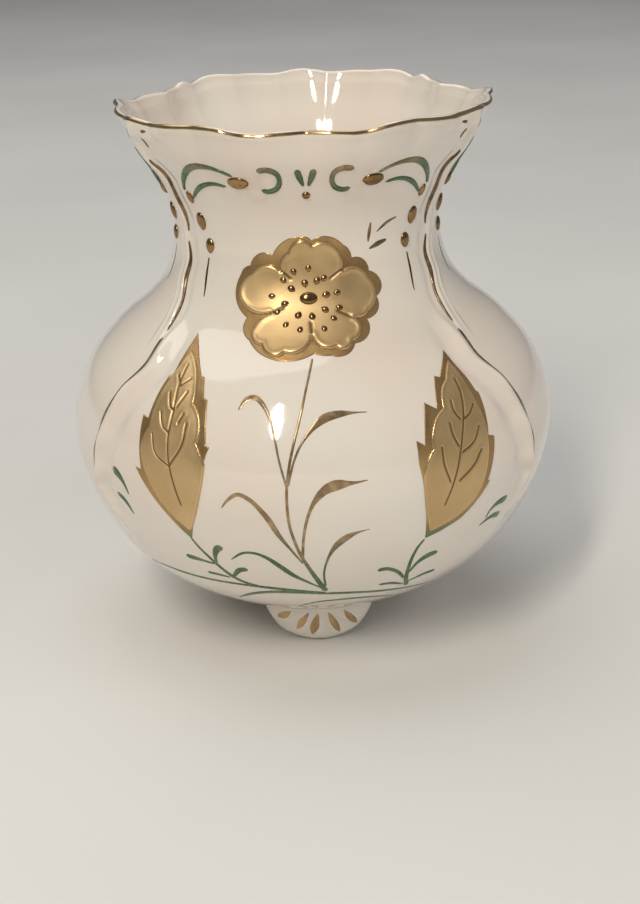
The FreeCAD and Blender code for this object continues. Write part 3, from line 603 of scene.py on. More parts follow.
def wall_rows():
    """Rows of the body: (height, radius, rim share, relief share, outward, upward)."""
    floor = UNDERSIDE + FLOOR_THICKNESS
    top = LIP_BASE - LIP_RADIUS
    rows = []
    for radius in np.linspace(1.0, PROFILE[0][1] - 0.8, 16):
        rows.append((UNDERSIDE + BASE_HOLLOW * smooth(27.0, 23.0, radius), radius, 0.0, 0.0, 0.0, 0.0))
    heights = np.arange(UNDERSIDE + 0.3, top, ROW_STEP)
    inner = []
    for height in heights:
        slope = float(slope_at(height))
        length = math.hypot(1.0, slope)
        radius = float(radius_at(height))
        share = float(rim_share(height))
        rows.append((height, radius, share, 1.0, 1.0 / length, -slope / length))
        wall = WALL + share * (2 * LIP_RADIUS - WALL)
        inner_height = height + wall * slope / length
        if floor + 1.0 < inner_height < top:
            inner.append((inner_height, radius - wall / length, share, 0.0, 0.0, 0.0))
    for angle in range(0, 181, 15):
        turn = math.radians(angle)
        out, up = math.cos(turn), math.sin(turn)
        moulded = max(out, 0.0) * (1.0 - up)
        rows.append((LIP_BASE + LIP_RADIUS * up, LIP_CENTRE + LIP_RADIUS * out, 1.0, moulded, out, up))
    rows += inner[::-1]
    last_height, last_radius = inner[0][0], inner[0][1]
    for angle in (20, 40, 60, 80, 90):
        turn = math.radians(angle)
        height = floor + (last_height - floor) * (1 - math.sin(turn))
        rows.append((height, last_radius - INNER_CORNER * (1 - math.cos(turn)), 0.0, 0.0, 0.0, 0.0))
    for radius in np.linspace(last_radius - INNER_CORNER - 2.0, 1.0, 8):
        rows.append((floor, radius, 0.0, 0.0, 0.0, 0.0))
    return rows


def make_body(material):
    azimuths = columns_round()
    rows = []
    for height, radius, share, moulded, outward, upward in wall_rows():
        bent = bent_columns(azimuths, height)
        bump = moulded * relief(bent, height) if moulded else 0.0
        rows.append(place(bent, height + bump * upward, radius + bump * outward, share))
    build = Build()
    build.grid(np.stack(rows, axis=1), wrap_rows=True)
    per_column = len(rows)
    floor = UNDERSIDE + FLOOR_THICKNESS
    for row, middle, flip in ((0, UNDERSIDE + BASE_HOLLOW, True), (per_column - 1, floor, False)):
        ring = [column * per_column + row for column in range(len(azimuths))]
        build.fan(ring, (0.0, 0.0, middle), flip)
    return build.piece("glazed_body", material, "porcelain", ["vase_body"])


def rotated(points, azimuth):
    """Points turned about the vase's axis."""
    angle = math.radians(azimuth)
    x, y, z = np.moveaxis(np.asarray(points, float), -1, 0)
    return np.stack([
        x * math.cos(angle) - y * math.sin(angle), x * math.sin(angle) + y * math.cos(angle), z,
    ], -1)


def foot_fluting(x, height):
    """Relief of the shell: soft ribs that fan out from the middle of the foot's top."""
    below = FOOT_TOP - height
    angle = np.degrees(np.arctan2(x, np.maximum(below, 0.5)))
    reach = np.hypot(x, below)
    flutes = FLUTE_RELIEF * np.cos(2 * math.pi * angle / FOOT_FLUTE)
    return flutes * smooth(2.5, 8.0, reach) * smooth(18.0, 12.0, reach)


def foot_numbers(height):
    columns = list(zip(*FOOT_SECTIONS))
    return [hermite(list(zip(columns[0], column)), height) for column in columns[1:]]


def foot_front(x, height):
    """Points on the outer face of the front foot."""
    inner, outer, half_width = foot_numbers(height)
    share = np.clip(np.asarray(x) / half_width, -1.0, 1.0)
    reach = (inner + outer) / 2 + (outer - inner) / 2 * np.sqrt(1.0 - share ** 2)
    return np.stack(np.broadcast_arrays(x, -(reach + foot_fluting(x, height)), height), -1)


def make_foot(name, turn, material):
    around = np.radians(np.arange(0.0, 360.0, 3.0))
    heights = np.concatenate([[0.0, 0.15, 0.4, 0.8, 1.2], np.arange(1.6, FOOT_TOP + 0.01, 0.6)])
    rows = []
    for height in heights:
        inner, outer, half_width = foot_numbers(height)
        tuck = 0.45 * max(1.0 - height / 0.8, 0.0) ** 2
        x = (half_width - tuck) * np.sin(around)
        facing = np.cos(around)
        reach = (inner + outer) / 2 + ((outer - inner) / 2 - tuck) * facing
        reach = reach + np.maximum(facing, 0.0) * foot_fluting(x, height)
        lift = 0.4 * np.exp(-(x / 1.1) ** 2) * smooth(2.2, 0.0, height) * np.maximum(facing, 0.0)
        rows.append(np.stack(np.broadcast_arrays(x, -reach, height + lift), -1))
    build = Build()
    build.grid(rotated(np.stack(rows, axis=1), turn), wrap_rows=True)
    last = len(rows) - 1
    for row, flip in ((0, True), (last, False)):
        ring = [column * len(rows) + row for column in range(len(around))]
        middle = np.mean([build.points[0][index] for index in ring], axis=0)
        build.fan(ring, middle, flip)
    return build.piece("shell_foot_" + name, material, "porcelain", ["foot_" + name])


def make_foot_gold(name, turn, material):
    build = Build()
    across = np.linspace(-1.0, 1.0, 9)
    crown = slice(len(across) // 2, len(across) // 2 + 1)
    for upper, lower, half_width in FOOT_DASHES:
        start, end = np.array(upper), np.array(lower)
        heading = unit(end - start)
        sideways = np.array([-heading[1], heading[0]])
        rows = []
        for share in np.linspace(0.0, 1.0, 17):
            taper = math.sin(math.pi * min(max(share, 0.02), 0.98)) ** 0.6 * (0.72 + 0.4 * share)
            middle = start + (end - start) * share
            x, height = middle[:, None] + np.outer(sideways, across * half_width * taper)
            lift = DASH_LIFT * np.sqrt(1 - across ** 2) - SINK
            skin = foot_front(x, height)
            under = foot_front(x[crown], height[crown]) + [0.0, 0.4, 0.0]
            rows.append(np.concatenate([skin + np.stack([0 * x, -lift, 0 * x], -1), under]))
        build.tube(rotated(np.stack(rows), turn))
    return build.piece("foot_gold_" + name, material, "bright_gold", ["foot_dashes_" + name])


def make_rim_gold(material):
    azimuths = bent_columns(columns_round(), LIP_HEIGHT)
    turn = np.radians(azimuths)
    wobble = 0.5 * np.sin(5 * turn + 1.0) + 0.3 * np.sin(13 * turn) + 0.35 * np.sin(31 * turn + 2.0)
    lowest = 4.0 + 7.0 * wobble
    highest = 64.0 + 8.0 * np.sin(7 * turn + 0.5) + 5.0 * np.sin(23 * turn)
    rows = []
    for share in np.linspace(0.0, 1.0, 11):
        angle = np.radians(lowest + (highest - lowest) * share)
        skin = RIM_GOLD * np.minimum(1.0, 8.0 * min(share, 1 - share))
        thickness = LIP_RADIUS + skin - SINK * (share in (0.0, 1.0))
        outward = np.maximum(np.cos(angle), 0.0)
        bump = relief(azimuths, LIP_BASE) * outward * (1 - np.maximum(np.sin(angle), 0.0))
        radius = LIP_CENTRE + (thickness + bump) * np.cos(angle)
        rows.append(place(azimuths, LIP_BASE + thickness * np.sin(angle), radius, 1.0))
    middle = np.radians((lowest + highest) / 2)
    depth = LIP_RADIUS - 0.35
    rows.append(place(azimuths, LIP_BASE + depth * np.sin(middle), LIP_CENTRE + depth * np.cos(middle), 1.0))
    build = Build()
    build.grid(np.stack(rows, axis=1), wrap_rows=True, wrap_columns=True)
    return build.piece("rim_gold", material, "bright_gold", ["rim_gilding"])


def path_samples(points, spacing):
    """Azimuths, heights and distances in mm along a smooth path through the points."""
    azimuth, height = np.array(points, float).T
    radius = radius_at(height)
    gaps = np.hypot(np.radians(np.diff(azimuth)) * (radius[1:] + radius[:-1]) / 2, np.diff(height))
    at = np.concatenate([[0.0], np.cumsum(gaps)])
    count = max(14, int(at[-1] / spacing))
    distance = np.linspace(0.0, at[-1], count)
    return hermite(list(zip(at, azimuth)), distance), hermite(list(zip(at, height)), distance), distance


def add_stroke(build, points, widths, lift):
    """Brush stroke: a low rounded ribbon with rounded ends, lying on the body."""
    azimuth, height, distance = path_samples(points, 0.7)
    total = distance[-1]
    share = distance / total
    width = np.maximum(hermite(list(zip(np.linspace(0.0, 1.0, len(widths)), widths)), share), 0.3)
    nearest_end = np.minimum(distance, total - distance)
    tip = np.clip(nearest_end / (0.6 * width), 0.0, 1.0)
    width = width * np.maximum(np.sqrt(1 - (1 - tip) ** 2), 0.12)
    centre = surface(azimuth, height)
    normal = surface_normal(azimuth, height)
    along = unit(np.gradient(centre, axis=0))
    side = unit(np.cross(normal, along))
    angle = np.radians(azimuth)
    east = np.stack([np.cos(angle), np.sin(angle), 0 * angle], -1)
    radius = np.hypot(centre[:, 0], centre[:, 1])
    columns = []
    for place_across in (-1.0, -0.85, -0.5, 0.0, 0.5, 0.85, 1.0):
        offset = width / 2 * place_across
        moved_azimuth = azimuth + np.degrees(offset * (side * east).sum(-1) / radius)
        moved_height = height + offset * side[:, 2]
        crown = lift * math.sqrt(1 - place_across ** 2)
        crown = crown * np.minimum(1.0, width / 1.0) - SINK
        columns.append(surface(moved_azimuth, moved_height) + normal * crown[:, None])
    columns.append(centre - normal * DEEP_SINK)
    build.tube(np.stack(columns, axis=1))


def swollen(rows, factor):
    """The same strokes with their widths multiplied, for thick enamel."""
    return [(points, [width * factor for width in widths]) for points, widths in rows]


def moved_strokes(rows, turn=0.0, mirrored=False):
    flip = -1.0 if mirrored else 1.0
    return [
        ([(turn + flip * azimuth, height) for azimuth, height in points], widths) for points, widths in rows
    ]


def make_strokes(name, rows, material, node, lift=STROKE_LIFT):
    build = Build()
    for row in rows:
        add_stroke(build, *row, lift)
    return build.piece(name, material, "line_gilding", [node])


def motif_frame(azimuth, height, lean):
    """Centre of a motif's plane and its right, up and outward directions."""
    angle = math.radians(azimuth)
    tilt = math.radians(lean)
    normal = np.array([math.sin(angle) * math.cos(tilt), -math.cos(angle) * math.cos(tilt), math.sin(tilt)])
    right = np.array([math.cos(angle), math.sin(angle), 0.0])
    radius = float(radius_at(height))
    centre = np.array([radius * math.sin(angle), -radius * math.cos(angle), height])
    return centre, right, np.cross(normal, right), normal


def onto_body(motif, x, y):
    """Azimuths and heights of the body under points of a motif's plane, along its normal."""
    centre, right, up, normal = motif_frame(*motif)
    points = centre + np.outer(x, right) + np.outer(y, up)
    for _ in range(25):
        reach = np.hypot(points[:, 0], points[:, 1])
        gap = reach - radius_at(np.clip(points[:, 2], UNDERSIDE, LIP_HEIGHT))
        points = points - np.outer(gap, normal)
    return np.degrees(np.arctan2(points[:, 0], -points[:, 1])), points[:, 2]


def outline_points(outline, spacing):
    """Points (n, 2) along a closed outline of arcs and lines."""
    found = []
    for (x0, y0, bulge), (x1, y1, _) in zip(outline, outline[1:] + outline[:1]):
        start, end = np.array([x0, y0]), np.array([x1, y1])
        chord = end - start
        count = max(1, round(np.hypot(*chord) * (1 + bulge ** 2) / spacing))
        half = 2 * math.atan(bulge)
        outward = np.array([-chord[1], chord[0]])
        for i in range(count):
            share = i / count
            if bulge:
                turn = half * (2 * share - 1)
                along = 0.5 + math.sin(turn) / (2 * math.sin(half))
                rise = (math.cos(turn) - math.cos(half)) / (2 * math.sin(half))
                found.append(start + chord * along + outward * rise)
            else:
                found.append(start + chord * share)
    return np.array(found)


def distance_to(points, lines):
    """Distance of points (n, 2) to the nearest of several lines (each a list of points)."""
    best = np.full(len(points), FAR)
    for line in lines:
        line = np.asarray(line, float)
        for start, end in zip(line[:-1], line[1:]):
            step = end - start
            share = np.clip(((points - start) @ step) / max(step @ step, 1e-9), 0.0, 1.0)
            nearest = start + share[:, None] * step
            best = np.minimum(best, np.hypot(*(points - nearest).T))
    return best


def inside(points, outline):
    """True where points (n, 2) lie inside a closed outline."""
    x, y = points.T
    crossings = np.zeros(len(points), int)
    for (x0, y0), (x1, y1) in zip(outline, np.roll(outline, -1, axis=0)):
        spans = (y0 > y) != (y1 > y)
        with np.errstate(divide="ignore", invalid="ignore"):
            crossings += spans & (x < (x1 - x0) * (y - y0) / (y1 - y0) + x0)
    return crossings % 2 == 1


def smooth_line(points, spacing):
    """Smooth line (n, 2) through a few points."""
    points = np.asarray(points, float)
    at = np.concatenate([[0.0], np.cumsum(np.hypot(*np.diff(points, axis=0).T))])
    distance = np.linspace(0.0, at[-1], max(3, int(at[-1] / spacing)))
    return np.stack([hermite(list(zip(at, points[:, k])), distance) for k in (0, 1)], -1)


def triangulate(outline, spacing):
    """Triangles that fill an outline, with even rows along its edge."""
    closed = np.concatenate([outline, outline[:1]])
    tangent = unit(np.roll(outline, -1, axis=0) - np.roll(outline, 1, axis=0))
    inward = np.stack([tangent[:, 1], -tangent[:, 0]], -1)
    rows = [outline]
    for inset in (0.15, 0.35, 0.65):
        row = outline + inward * inset
        keep = (distance_to(row, [closed]) > inset * 0.93) & inside(row, outline)
        rows.append(row[keep])
    low, high = outline.min(0), outline.max(0)
    x, y = np.meshgrid(np.arange(low[0], high[0], spacing), np.arange(low[1], high[1], spacing * 0.866))
    x = x + (np.arange(len(x)) % 2)[:, None] * spacing / 2
    grid = np.stack([x.ravel(), y.ravel()], -1)
    grid = grid[inside(grid, outline)]
    rows.append(grid[distance_to(grid, [closed]) > 0.65 + spacing * 0.6])
    points = np.concatenate(rows)
    border = list(range(len(outline)))
    edges = list(zip(border, border[1:] + border[:1]))
    vertices, _, faces, *_ = delaunay_2d_cdt(
        [Vector(point) for point in points.tolist()], edges, [], 1, 1e-5,
    )
    return np.array([vertex[:] for vertex in vertices]), [list(face) for face in faces]


def make_plate(name, motif, outline, spacing, height_rule, material, slot, node, base=0.0):
    """Raised plate on the body.

    height_rule gives its height and its groove mask, used for painted shade in the grooves, from (points,
    distance to the edge).
    """
    edge = outline_points(outline, OUTLINE_STEP)
    flat, faces = triangulate(edge, spacing)
    reach = distance_to(flat, [np.concatenate([edge, edge[:1]])])
    lift, groove_shade = height_rule(flat, reach)
    azimuth, height = onto_body(motif, flat[:, 0], flat[:, 1])
    skin = surface(azimuth, height)
    normal = surface_normal(azimuth, height)
    first = flat[faces[0]]
    turn = np.cross(first[1] - first[0], first[2] - first[0])
    if turn < 0:
        faces = [face[::-1] for face in faces]
    sides = dict.fromkeys((a, b) for face in faces for a, b in zip(face, face[1:] + face[:1]))
    border = [(a, b) for a, b in sides if (b, a) not in sides]
    total = len(flat)
    low = [[index + total for index in face[::-1]] for face in faces]
    skirt = [[b, a, a + total, b + total] for a, b in border]
    build = Build()
    top = skin + normal * (base + lift)[:, None]
    bottom = skin - normal * SINK
    build.add(np.concatenate([top, bottom]), faces + low + skirt)
    piece = build.piece(name, material, slot, [node])
    # groove mask, for the painted shade in the grooves
    store_value(piece, "groove_shade", np.concatenate([groove_shade, groove_shade]))
    store_value(piece, "edge", np.concatenate([reach, reach]))
    return piece


def store_value(piece, name, values):
    attribute = piece.data.attributes.new(name, "FLOAT", "POINT")
    attribute.data.foreach_set("value", np.asarray(values, np.float32))


def rounded_edge(reach, radius):
    return np.sqrt(np.clip(1 - (1 - np.minimum(reach / radius, 1.0)) ** 2, 0.0, 1.0))


def flat_gilt(_, reach):
    return BORDER_RELIEF * rounded_edge(reach, 0.25), 0.0 * reach


def petal_heights(points, reach):
    seams = distance_to(points, [smooth_line(line, 0.5) for line in PETAL_SEAMS])
    groove = np.exp(-(seams / 0.42) ** 2)
    middle = np.hypot(points[:, 0] - DROP_CENTRE[0], points[:, 1] - DROP_CENTRE[1])
    dish = 0.18 * smooth(12.0, 3.0, middle)
    rolled = 0.28 * np.exp(-((reach - 1.0) / 0.75) ** 2)
    return PETAL_RELIEF * rounded_edge(reach, 0.9) + rolled - dish - 0.4 * groove, groove


def leaf_heights(veins):
    lines = [smooth_line(line, 0.6) for line in veins]

    def rule(points, reach):
        gap = distance_to(points, lines)
        groove = np.exp(-(gap / 0.3) ** 2)
        bank = np.exp(-((gap - 0.85) / 0.45) ** 2)
        pillow = 0.2 * smooth(0.0, 4.0, reach)
        rolled = 0.16 * np.exp(-((reach - 0.6) / 0.4) ** 2)
        plate = LEAF_RELIEF * rounded_edge(reach, 0.5)
        return plate + pillow + rolled + 0.08 * bank - 0.3 * groove, groove

    return rule


def add_dome(build, centre, side, up, normal, half_width, half_height, lift, pull=0.0):
    """Droplet on the surface; pull draws its lower end out to a point."""
    around = np.radians(np.arange(360.0, 0.0, -15.0))
    rows = []
    for angle in (0.0, 22.0, 45.0, 65.0, 82.0, 88.0):
        ring = math.cos(math.radians(angle))
        rise = lift * math.sin(math.radians(angle)) - DEEP_SINK * (angle == 0.0)
        x = half_width * ring * np.sin(around)
        y = half_height * ring * np.cos(around)
        x = x * (1.0 - pull * np.clip(-y / half_height, 0.0, 1.0) ** 1.5)
        rows.append(centre + np.outer(x, side) + np.outer(y, up) + normal * rise)
    points = np.stack(rows, axis=1)
    start = build.count
    build.grid(points, wrap_rows=True)
    per = points.shape[1]
    for row, flip in ((0, True), (per - 1, False)):
        ring = [start + column * per + row for column in range(points.shape[0])]
        offset = -DEEP_SINK if row == 0 else lift
        build.fan(ring, centre + normal * offset, flip)


def body_axes(azimuth, height):
    """Centre, side, up and normal on the body at one place."""
    centre = surface(azimuth, height)
    normal = surface_normal(azimuth, height)
    angle = math.radians(azimuth)
    side = np.array([math.cos(angle), math.sin(angle), 0.0])
    side = unit(side - normal * (side @ normal))
    return centre, side, np.cross(normal, side), normal


def make_beads(name, turn, material, node):
    build = Build()
    azimuth, height, half_width, half_height = MIDDLE_BEAD
    add_dome(build, *body_axes(turn + azimuth, height), half_width, half_height, MIDDLE_BEAD_LIFT)
    for flip in (-1.0, 1.0):
        for azimuth, height, half_width, half_height in HALF_BEADS:
            axes = body_axes(turn + flip * azimuth, height)
            add_dome(build, *axes, half_width, half_height, BEAD_LIFT, BEAD_PULL)
        tail = moved_strokes(swollen([HALF_BEAD_TAIL], TAIL_SWELL), turn, flip < 0)[0]
        add_stroke(build, *tail, STROKE_LIFT)
    return build.piece(name, material, "bright_gold", [node])


def make_drops(material):
    """Gold droplets in the flower's middle, their points turned inwards, darkened by a painted dark
    reflection.
    """
    _, right, up, _ = motif_frame(*FLOWER)
    build = Build()
    rows = [(DROP_CENTRE, *CENTRE_DROP)]
    rows += [(spot, *INNER_DROP) for spot in INNER_DROPS]
    rows += [(spot, *OUTER_DROP) for spot in OUTER_DROPS]
    for (x, y), half_width, half_height, pull, lift in rows:
        azimuth, height = onto_body(FLOWER, np.array([x]), np.array([y]))
        centre = surface(azimuth, height)[0]
        normal = surface_normal(azimuth, height)[0]
        outward = np.array([x - DROP_CENTRE[0], y - DROP_CENTRE[1]])
        outward = outward / np.hypot(*outward) if pull else np.array([0.0, 1.0])
        long_axis = right * outward[0] + up * outward[1]
        long_axis = unit(long_axis - normal * (long_axis @ normal))
        side = np.cross(long_axis, normal)
        centre = centre + normal * DROP_BASE
        add_dome(build, centre, side, long_axis, normal, half_width, half_height, lift, pull)
    return build.piece("flower_drops", material, "bright_gold", ["flower_dots"])


# Materials

class Finish:
    """A material under construction: its node tree and its main shader."""

    def __init__(self, name):
        self.material = bpy.data.materials.new(name)
        self.material.use_nodes = True
        self.tree = self.material.node_tree
        self.shader = self.tree.nodes["Principled BSDF"]
        self.place = self.node("ShaderNodeTexCoord").outputs["Object"]

    def node(self, kind, **settings):
        node = self.tree.nodes.new(kind)
        for name, value in settings.items():
            setattr(node, name, value)
        return node

    def feed(self, socket, value):
        if isinstance(value, bpy.types.NodeSocket):
            self.tree.links.new(value, socket)
        else:
            socket.default_value = value

    def set(self, **values):
        """Main shader's sockets by name, with _ for a space."""
        for name, value in values.items():
            self.feed(self.shader.inputs[name.replace("_", " ")], value)

    def noise(self, scale, detail=2.0, stretch=None, roughness=0.5):
        node = self.node("ShaderNodeTexNoise")
        node.inputs["Scale"].default_value = scale
        node.inputs["Detail"].default_value = detail
        node.inputs["Roughness"].default_value = roughness
        place = self.place
        if stretch:
            mapping = self.node("ShaderNodeMapping")
            mapping.inputs["Scale"].default_value = stretch
            self.feed(mapping.inputs["Vector"], place)
            place = mapping.outputs["Vector"]
        self.feed(node.inputs["Vector"], place)
        return node.outputs["Fac"]

    def spread(self, value, low, high, to_low=0.0, to_high=1.0):
        """Maps a value from low..high to to_low..to_high, smoothly and clamped."""
        node = self.node("ShaderNodeMapRange", interpolation_type="SMOOTHSTEP")
        for name, number in zip(("From Min", "From Max", "To Min", "To Max"), (low, high, to_low, to_high)):
            node.inputs[name].default_value = number
        self.feed(node.inputs["Value"], value)
        return node.outputs["Result"]

    def sum(self, kind, a, b):
        node = self.node("ShaderNodeMath", operation=kind)
        self.feed(node.inputs[0], a)
        self.feed(node.inputs[1], b)
        return node.outputs["Value"]

    def mix(self, share, first, second, blend="MIX"):
        node = self.node("ShaderNodeMix", data_type="RGBA", blend_type=blend)
        self.feed(node.inputs["Factor"], share)
        self.feed(node.inputs[6], first if isinstance(first, bpy.types.NodeSocket) else (*first, 1.0))
        self.feed(node.inputs[7], second if isinstance(second, bpy.types.NodeSocket) else (*second, 1.0))
        return node.outputs[2]

    def height(self):
        node = self.node("ShaderNodeSeparateXYZ")
        self.feed(node.inputs[0], self.place)
        return node.outputs["Z"]

    def stored(self, name):
        return self.node("ShaderNodeAttribute", attribute_name=name).outputs["Fac"]

    def bump(self, *layers):
        """Bumps from (value, strength, depth in metres), one on top of the other."""
        normal = None
        for value, strength, depth in layers:
            node = self.node("ShaderNodeBump")
            node.inputs["Strength"].default_value = strength
            node.inputs["Distance"].default_value = depth
            self.feed(node.inputs["Height"], value)
            if normal is not None:
                self.feed(node.inputs["Normal"], normal)
            normal = node.outputs["Normal"]
        self.set(Normal=normal)


def porcelain_finish():
    """Warm white glaze with a slow drift of cream and pink, a few specks, and bare soles."""
    finish = Finish("porcelain_glaze")
    drift = finish.spread(finish.noise(16.0, 3.0), 0.35, 0.65)
    blush = finish.spread(finish.noise(34.0, 2.0, (1.0, 1.0, 0.6)), 0.5, 0.75)
    colour = finish.mix(drift, GLAZE_WARM, GLAZE_COOL)
    colour = finish.mix(finish.sum("MULTIPLY", blush, 0.35), colour, GLAZE_PINK)
    cells = finish.node("ShaderNodeTexVoronoi")
    cells.inputs["Scale"].default_value = 46.0
    finish.feed(cells.inputs["Vector"], finish.place)
    chosen = finish.node("ShaderNodeSeparateColor")
    finish.feed(chosen.inputs[0], cells.outputs["Color"])
    rare = finish.sum("GREATER_THAN", chosen.outputs[0], 0.93)
    speck = finish.sum("MULTIPLY", finish.spread(cells.outputs["Distance"], 0.016, 0.007), rare)
    colour = finish.mix(finish.sum("MULTIPLY", speck, 0.7), colour, SPECK)
    bare = finish.spread(finish.height(), 0.0007, 0.0003)
    colour = finish.mix(bare, colour, BISQUE)
    gloss = finish.spread(finish.noise(55.0, 3.0), 0.3, 0.7, 0.05, 0.09)
    finish.set(
        Base_Color=colour, Roughness=finish.sum("MAXIMUM", gloss, finish.sum("MULTIPLY", bare, 0.8)),
        IOR=1.52, Coat_Weight=0.6, Coat_Roughness=0.03, Coat_IOR=1.5,
        Subsurface_Weight=0.12, Subsurface_Radius=(1.0, 0.75, 0.55), Subsurface_Scale=0.003,
    )
    finish.bump((finish.noise(60.0, 2.0), 0.12, 0.0005), (finish.noise(420.0, 2.0), 0.05, 0.0002))
    return finish.material


def bright_gold_finish(name, dark, light):
    """Burnished gold with brushed streaks and thin spots."""
    finish = Finish(name)
    tone = finish.spread(finish.noise(120.0, 4.0), 0.3, 0.7)
    colour = finish.mix(tone, dark, light)
    worn = finish.spread(finish.noise(310.0, 3.0), 0.62, 0.72)
    colour = finish.mix(finish.sum("MULTIPLY", worn, 0.35), colour, WORN_GOLD)
    gloss = finish.spread(finish.noise(190.0, 3.0), 0.3, 0.7, 0.1, 0.26)
    finish.set(Base_Color=colour, Metallic=1.0, Roughness=gloss)
    finish.bump(
        (finish.noise(340.0, 3.0, (1.0, 1.0, 0.25)), 0.18, 0.0003), (finish.noise(1500.0, 2.0), 0.08, 0.0001),
    )
    return finish.material


def edge_gold_finish():
    """Mirror gold of the motifs' borders, browner than the raised faces, with a painted green reflection on
    their lower parts.
    """
    finish = Finish("border_gold_mirror")
    tone = finish.spread(finish.noise(90.0, 4.0, (1.0, 1.0, 0.5)), 0.3, 0.7)
    colour = finish.mix(tone, BORDER_GOLD_DARK, BORDER_GOLD_LIGHT)
    # painted green reflection on the lower parts of the borders
    green_reflection = finish.spread(finish.height(), 0.062, 0.052)
    colour = finish.mix(green_reflection, colour, GREEN_REFLECTION_LIGHT)
    gloss = finish.spread(finish.noise(240.0, 3.0), 0.3, 0.7, 0.24, 0.34)
    finish.set(Base_Color=colour, Metallic=0.75, Roughness=gloss)
    finish.bump((finish.noise(260.0, 3.0), 0.15, 0.0003), (finish.noise(1300.0, 2.0), 0.06, 0.0001))
    return finish.material


def matte_gold_finish():
    """Satin etched gold: fine grain, polished along its edges, with painted shade darkening its engraved
    lines.
    """
    finish = Finish("matte_gold_etched")
    grain = finish.noise(2600.0, 2.0)
    tone = finish.spread(finish.noise(70.0, 4.0), 0.3, 0.7)
    colour = finish.mix(tone, MATTE_GOLD_DARK, MATTE_GOLD_LIGHT)
    colour = finish.mix(finish.spread(grain, 0.35, 0.65, 0.0, 0.25), colour, MATTE_GOLD_GRAIN)
    # painted shade darkening the engraved grooves
    groove_shade = finish.stored("groove_shade")
    colour = finish.mix(finish.spread(groove_shade, 0.15, 0.75, 0.0, 0.85), colour, GROOVE_SHADE_BROWN)
    polished = finish.spread(finish.stored("edge"), 1.2, 0.2, 0.0, 1.0)
    rough = finish.spread(tone, 0.0, 1.0, 0.38, 0.47)
    rough = finish.sum("SUBTRACT", rough, finish.sum("MULTIPLY", polished, 0.2))
    finish.set(Base_Color=colour, Metallic=0.75, Roughness=rough)
    finish.bump((grain, 0.3, 0.00012), (finish.noise(230.0, 3.0), 0.12, 0.0003))
    return finish.material


def painted_reflection_finish(name, green_reflection_low, green_reflection_high, ripple, gold_dark=LINE_GOLD_DARK, gold_light=LINE_GOLD_LIGHT):
    """Gold strokes with a painted green reflection below one height, turning to brown gold above the other.
    """
    finish = Finish(name)
    drift = finish.sum("MULTIPLY", finish.sum("SUBTRACT", finish.noise(ripple, 2.0), 0.5), 0.05)
    level = finish.sum("ADD", finish.height(), drift)
    gold = finish.mix(finish.spread(finish.noise(300.0, 3.0), 0.3, 0.7), gold_dark, gold_light)
    # painted green reflection in the gold
    green_reflection = finish.mix(finish.spread(finish.noise(260.0, 3.0), 0.3, 0.7), GREEN_REFLECTION_DARK, GREEN_REFLECTION_LIGHT)
    finish.set(
        Base_Color=finish.mix(finish.spread(level, green_reflection_low, green_reflection_high), green_reflection, gold), Metallic=0.5,
        Roughness=finish.spread(finish.noise(400.0, 2.0), 0.3, 0.7, 0.16, 0.3),
    )
    finish.bump((finish.noise(500.0, 3.0), 0.2, 0.0002))
    return finish.material


def floor_finish():
    """Plain pale paper floor with a faint tooth."""
    finish = Finish("pale_floor")
    tone = finish.spread(finish.noise(3.0, 3.0), 0.3, 0.7)
    finish.set(Base_Color=finish.mix(tone, FLOOR_PALE, FLOOR_PALER), Roughness=0.9)
    finish.bump((finish.noise(900.0, 2.0), 0.08, 0.0002))
    return finish.material


# Stage

def add_object(name, data):
    made = bpy.data.objects.new(name, data)
    bpy.context.scene.collection.objects.link(made)
    return made


def make_floor():
    """Flat round floor that reaches far behind the vase."""
    build = Build()
    around = np.radians(np.arange(0.0, 360.0, 6.0))
    rows = []
    for radius in FLOOR_RADII:
        rows.append(np.stack([radius * np.sin(around), -radius * np.cos(around), 0 * around], -1))
    build.grid(np.stack(rows, axis=1)[:, ::-1], wrap_rows=True)
    ring = [column * len(rows) + len(rows) - 1 for column in range(len(around))]
    build.fan(ring, (0.0, 0.0, 0.0))
    mesh = bpy.data.meshes.new("floor")
    mesh.from_pydata((np.concatenate(build.points) * MM).tolist(), [], build.faces)
    mesh.update()
    mesh.materials.append(floor_finish())
    floor = add_object("floor", mesh)


def add_softbox(name, place, aim, size, power, colour, mirrored):
    data = bpy.data.lights.new(name, "AREA")
    data.shape = "ELLIPSE"
    data.size, data.size_y = size
    data.energy = power
    data.color = colour
    light = add_object(name, data)
    light.location = place
    light.visible_glossy = mirrored
    facing = (Vector(aim) - Vector(place)).to_track_quat("-Z", "Y").to_matrix()
    light.rotation_euler = (facing @ Matrix.Rotation(math.radians(LIGHT_LEAN), 3, "Z")).to_euler()


def make_lights():
    for row in SOFTBOXES:
        add_softbox(*row)
    world = bpy.data.worlds.new("studio")
    bpy.context.scene.world = world
    world.use_nodes = True
    background = world.node_tree.nodes["Background"]
    background.inputs["Color"].default_value = WORLD_COLOUR
    background.inputs["Strength"].default_value = WORLD_STRENGTH


def make_camera():
    data = bpy.data.cameras.new("camera")
    data.sensor_fit = "AUTO"
    data.sensor_width = CAMERA_SENSOR
    data.lens = CAMERA_LENS
    data.shift_x = CAMERA_SHIFT
    camera = add_object("camera", data)
    camera.location = CAMERA_PLACE
    camera.rotation_euler = (math.radians(90.0 - CAMERA_PITCH), 0.0, 0.0)
    camera.rotation_euler = (
        camera.rotation_euler.to_matrix() @ Matrix.Rotation(math.radians(CAMERA_ROLL), 3, "Z")
    ).to_euler()
    bpy.context.scene.camera = camera


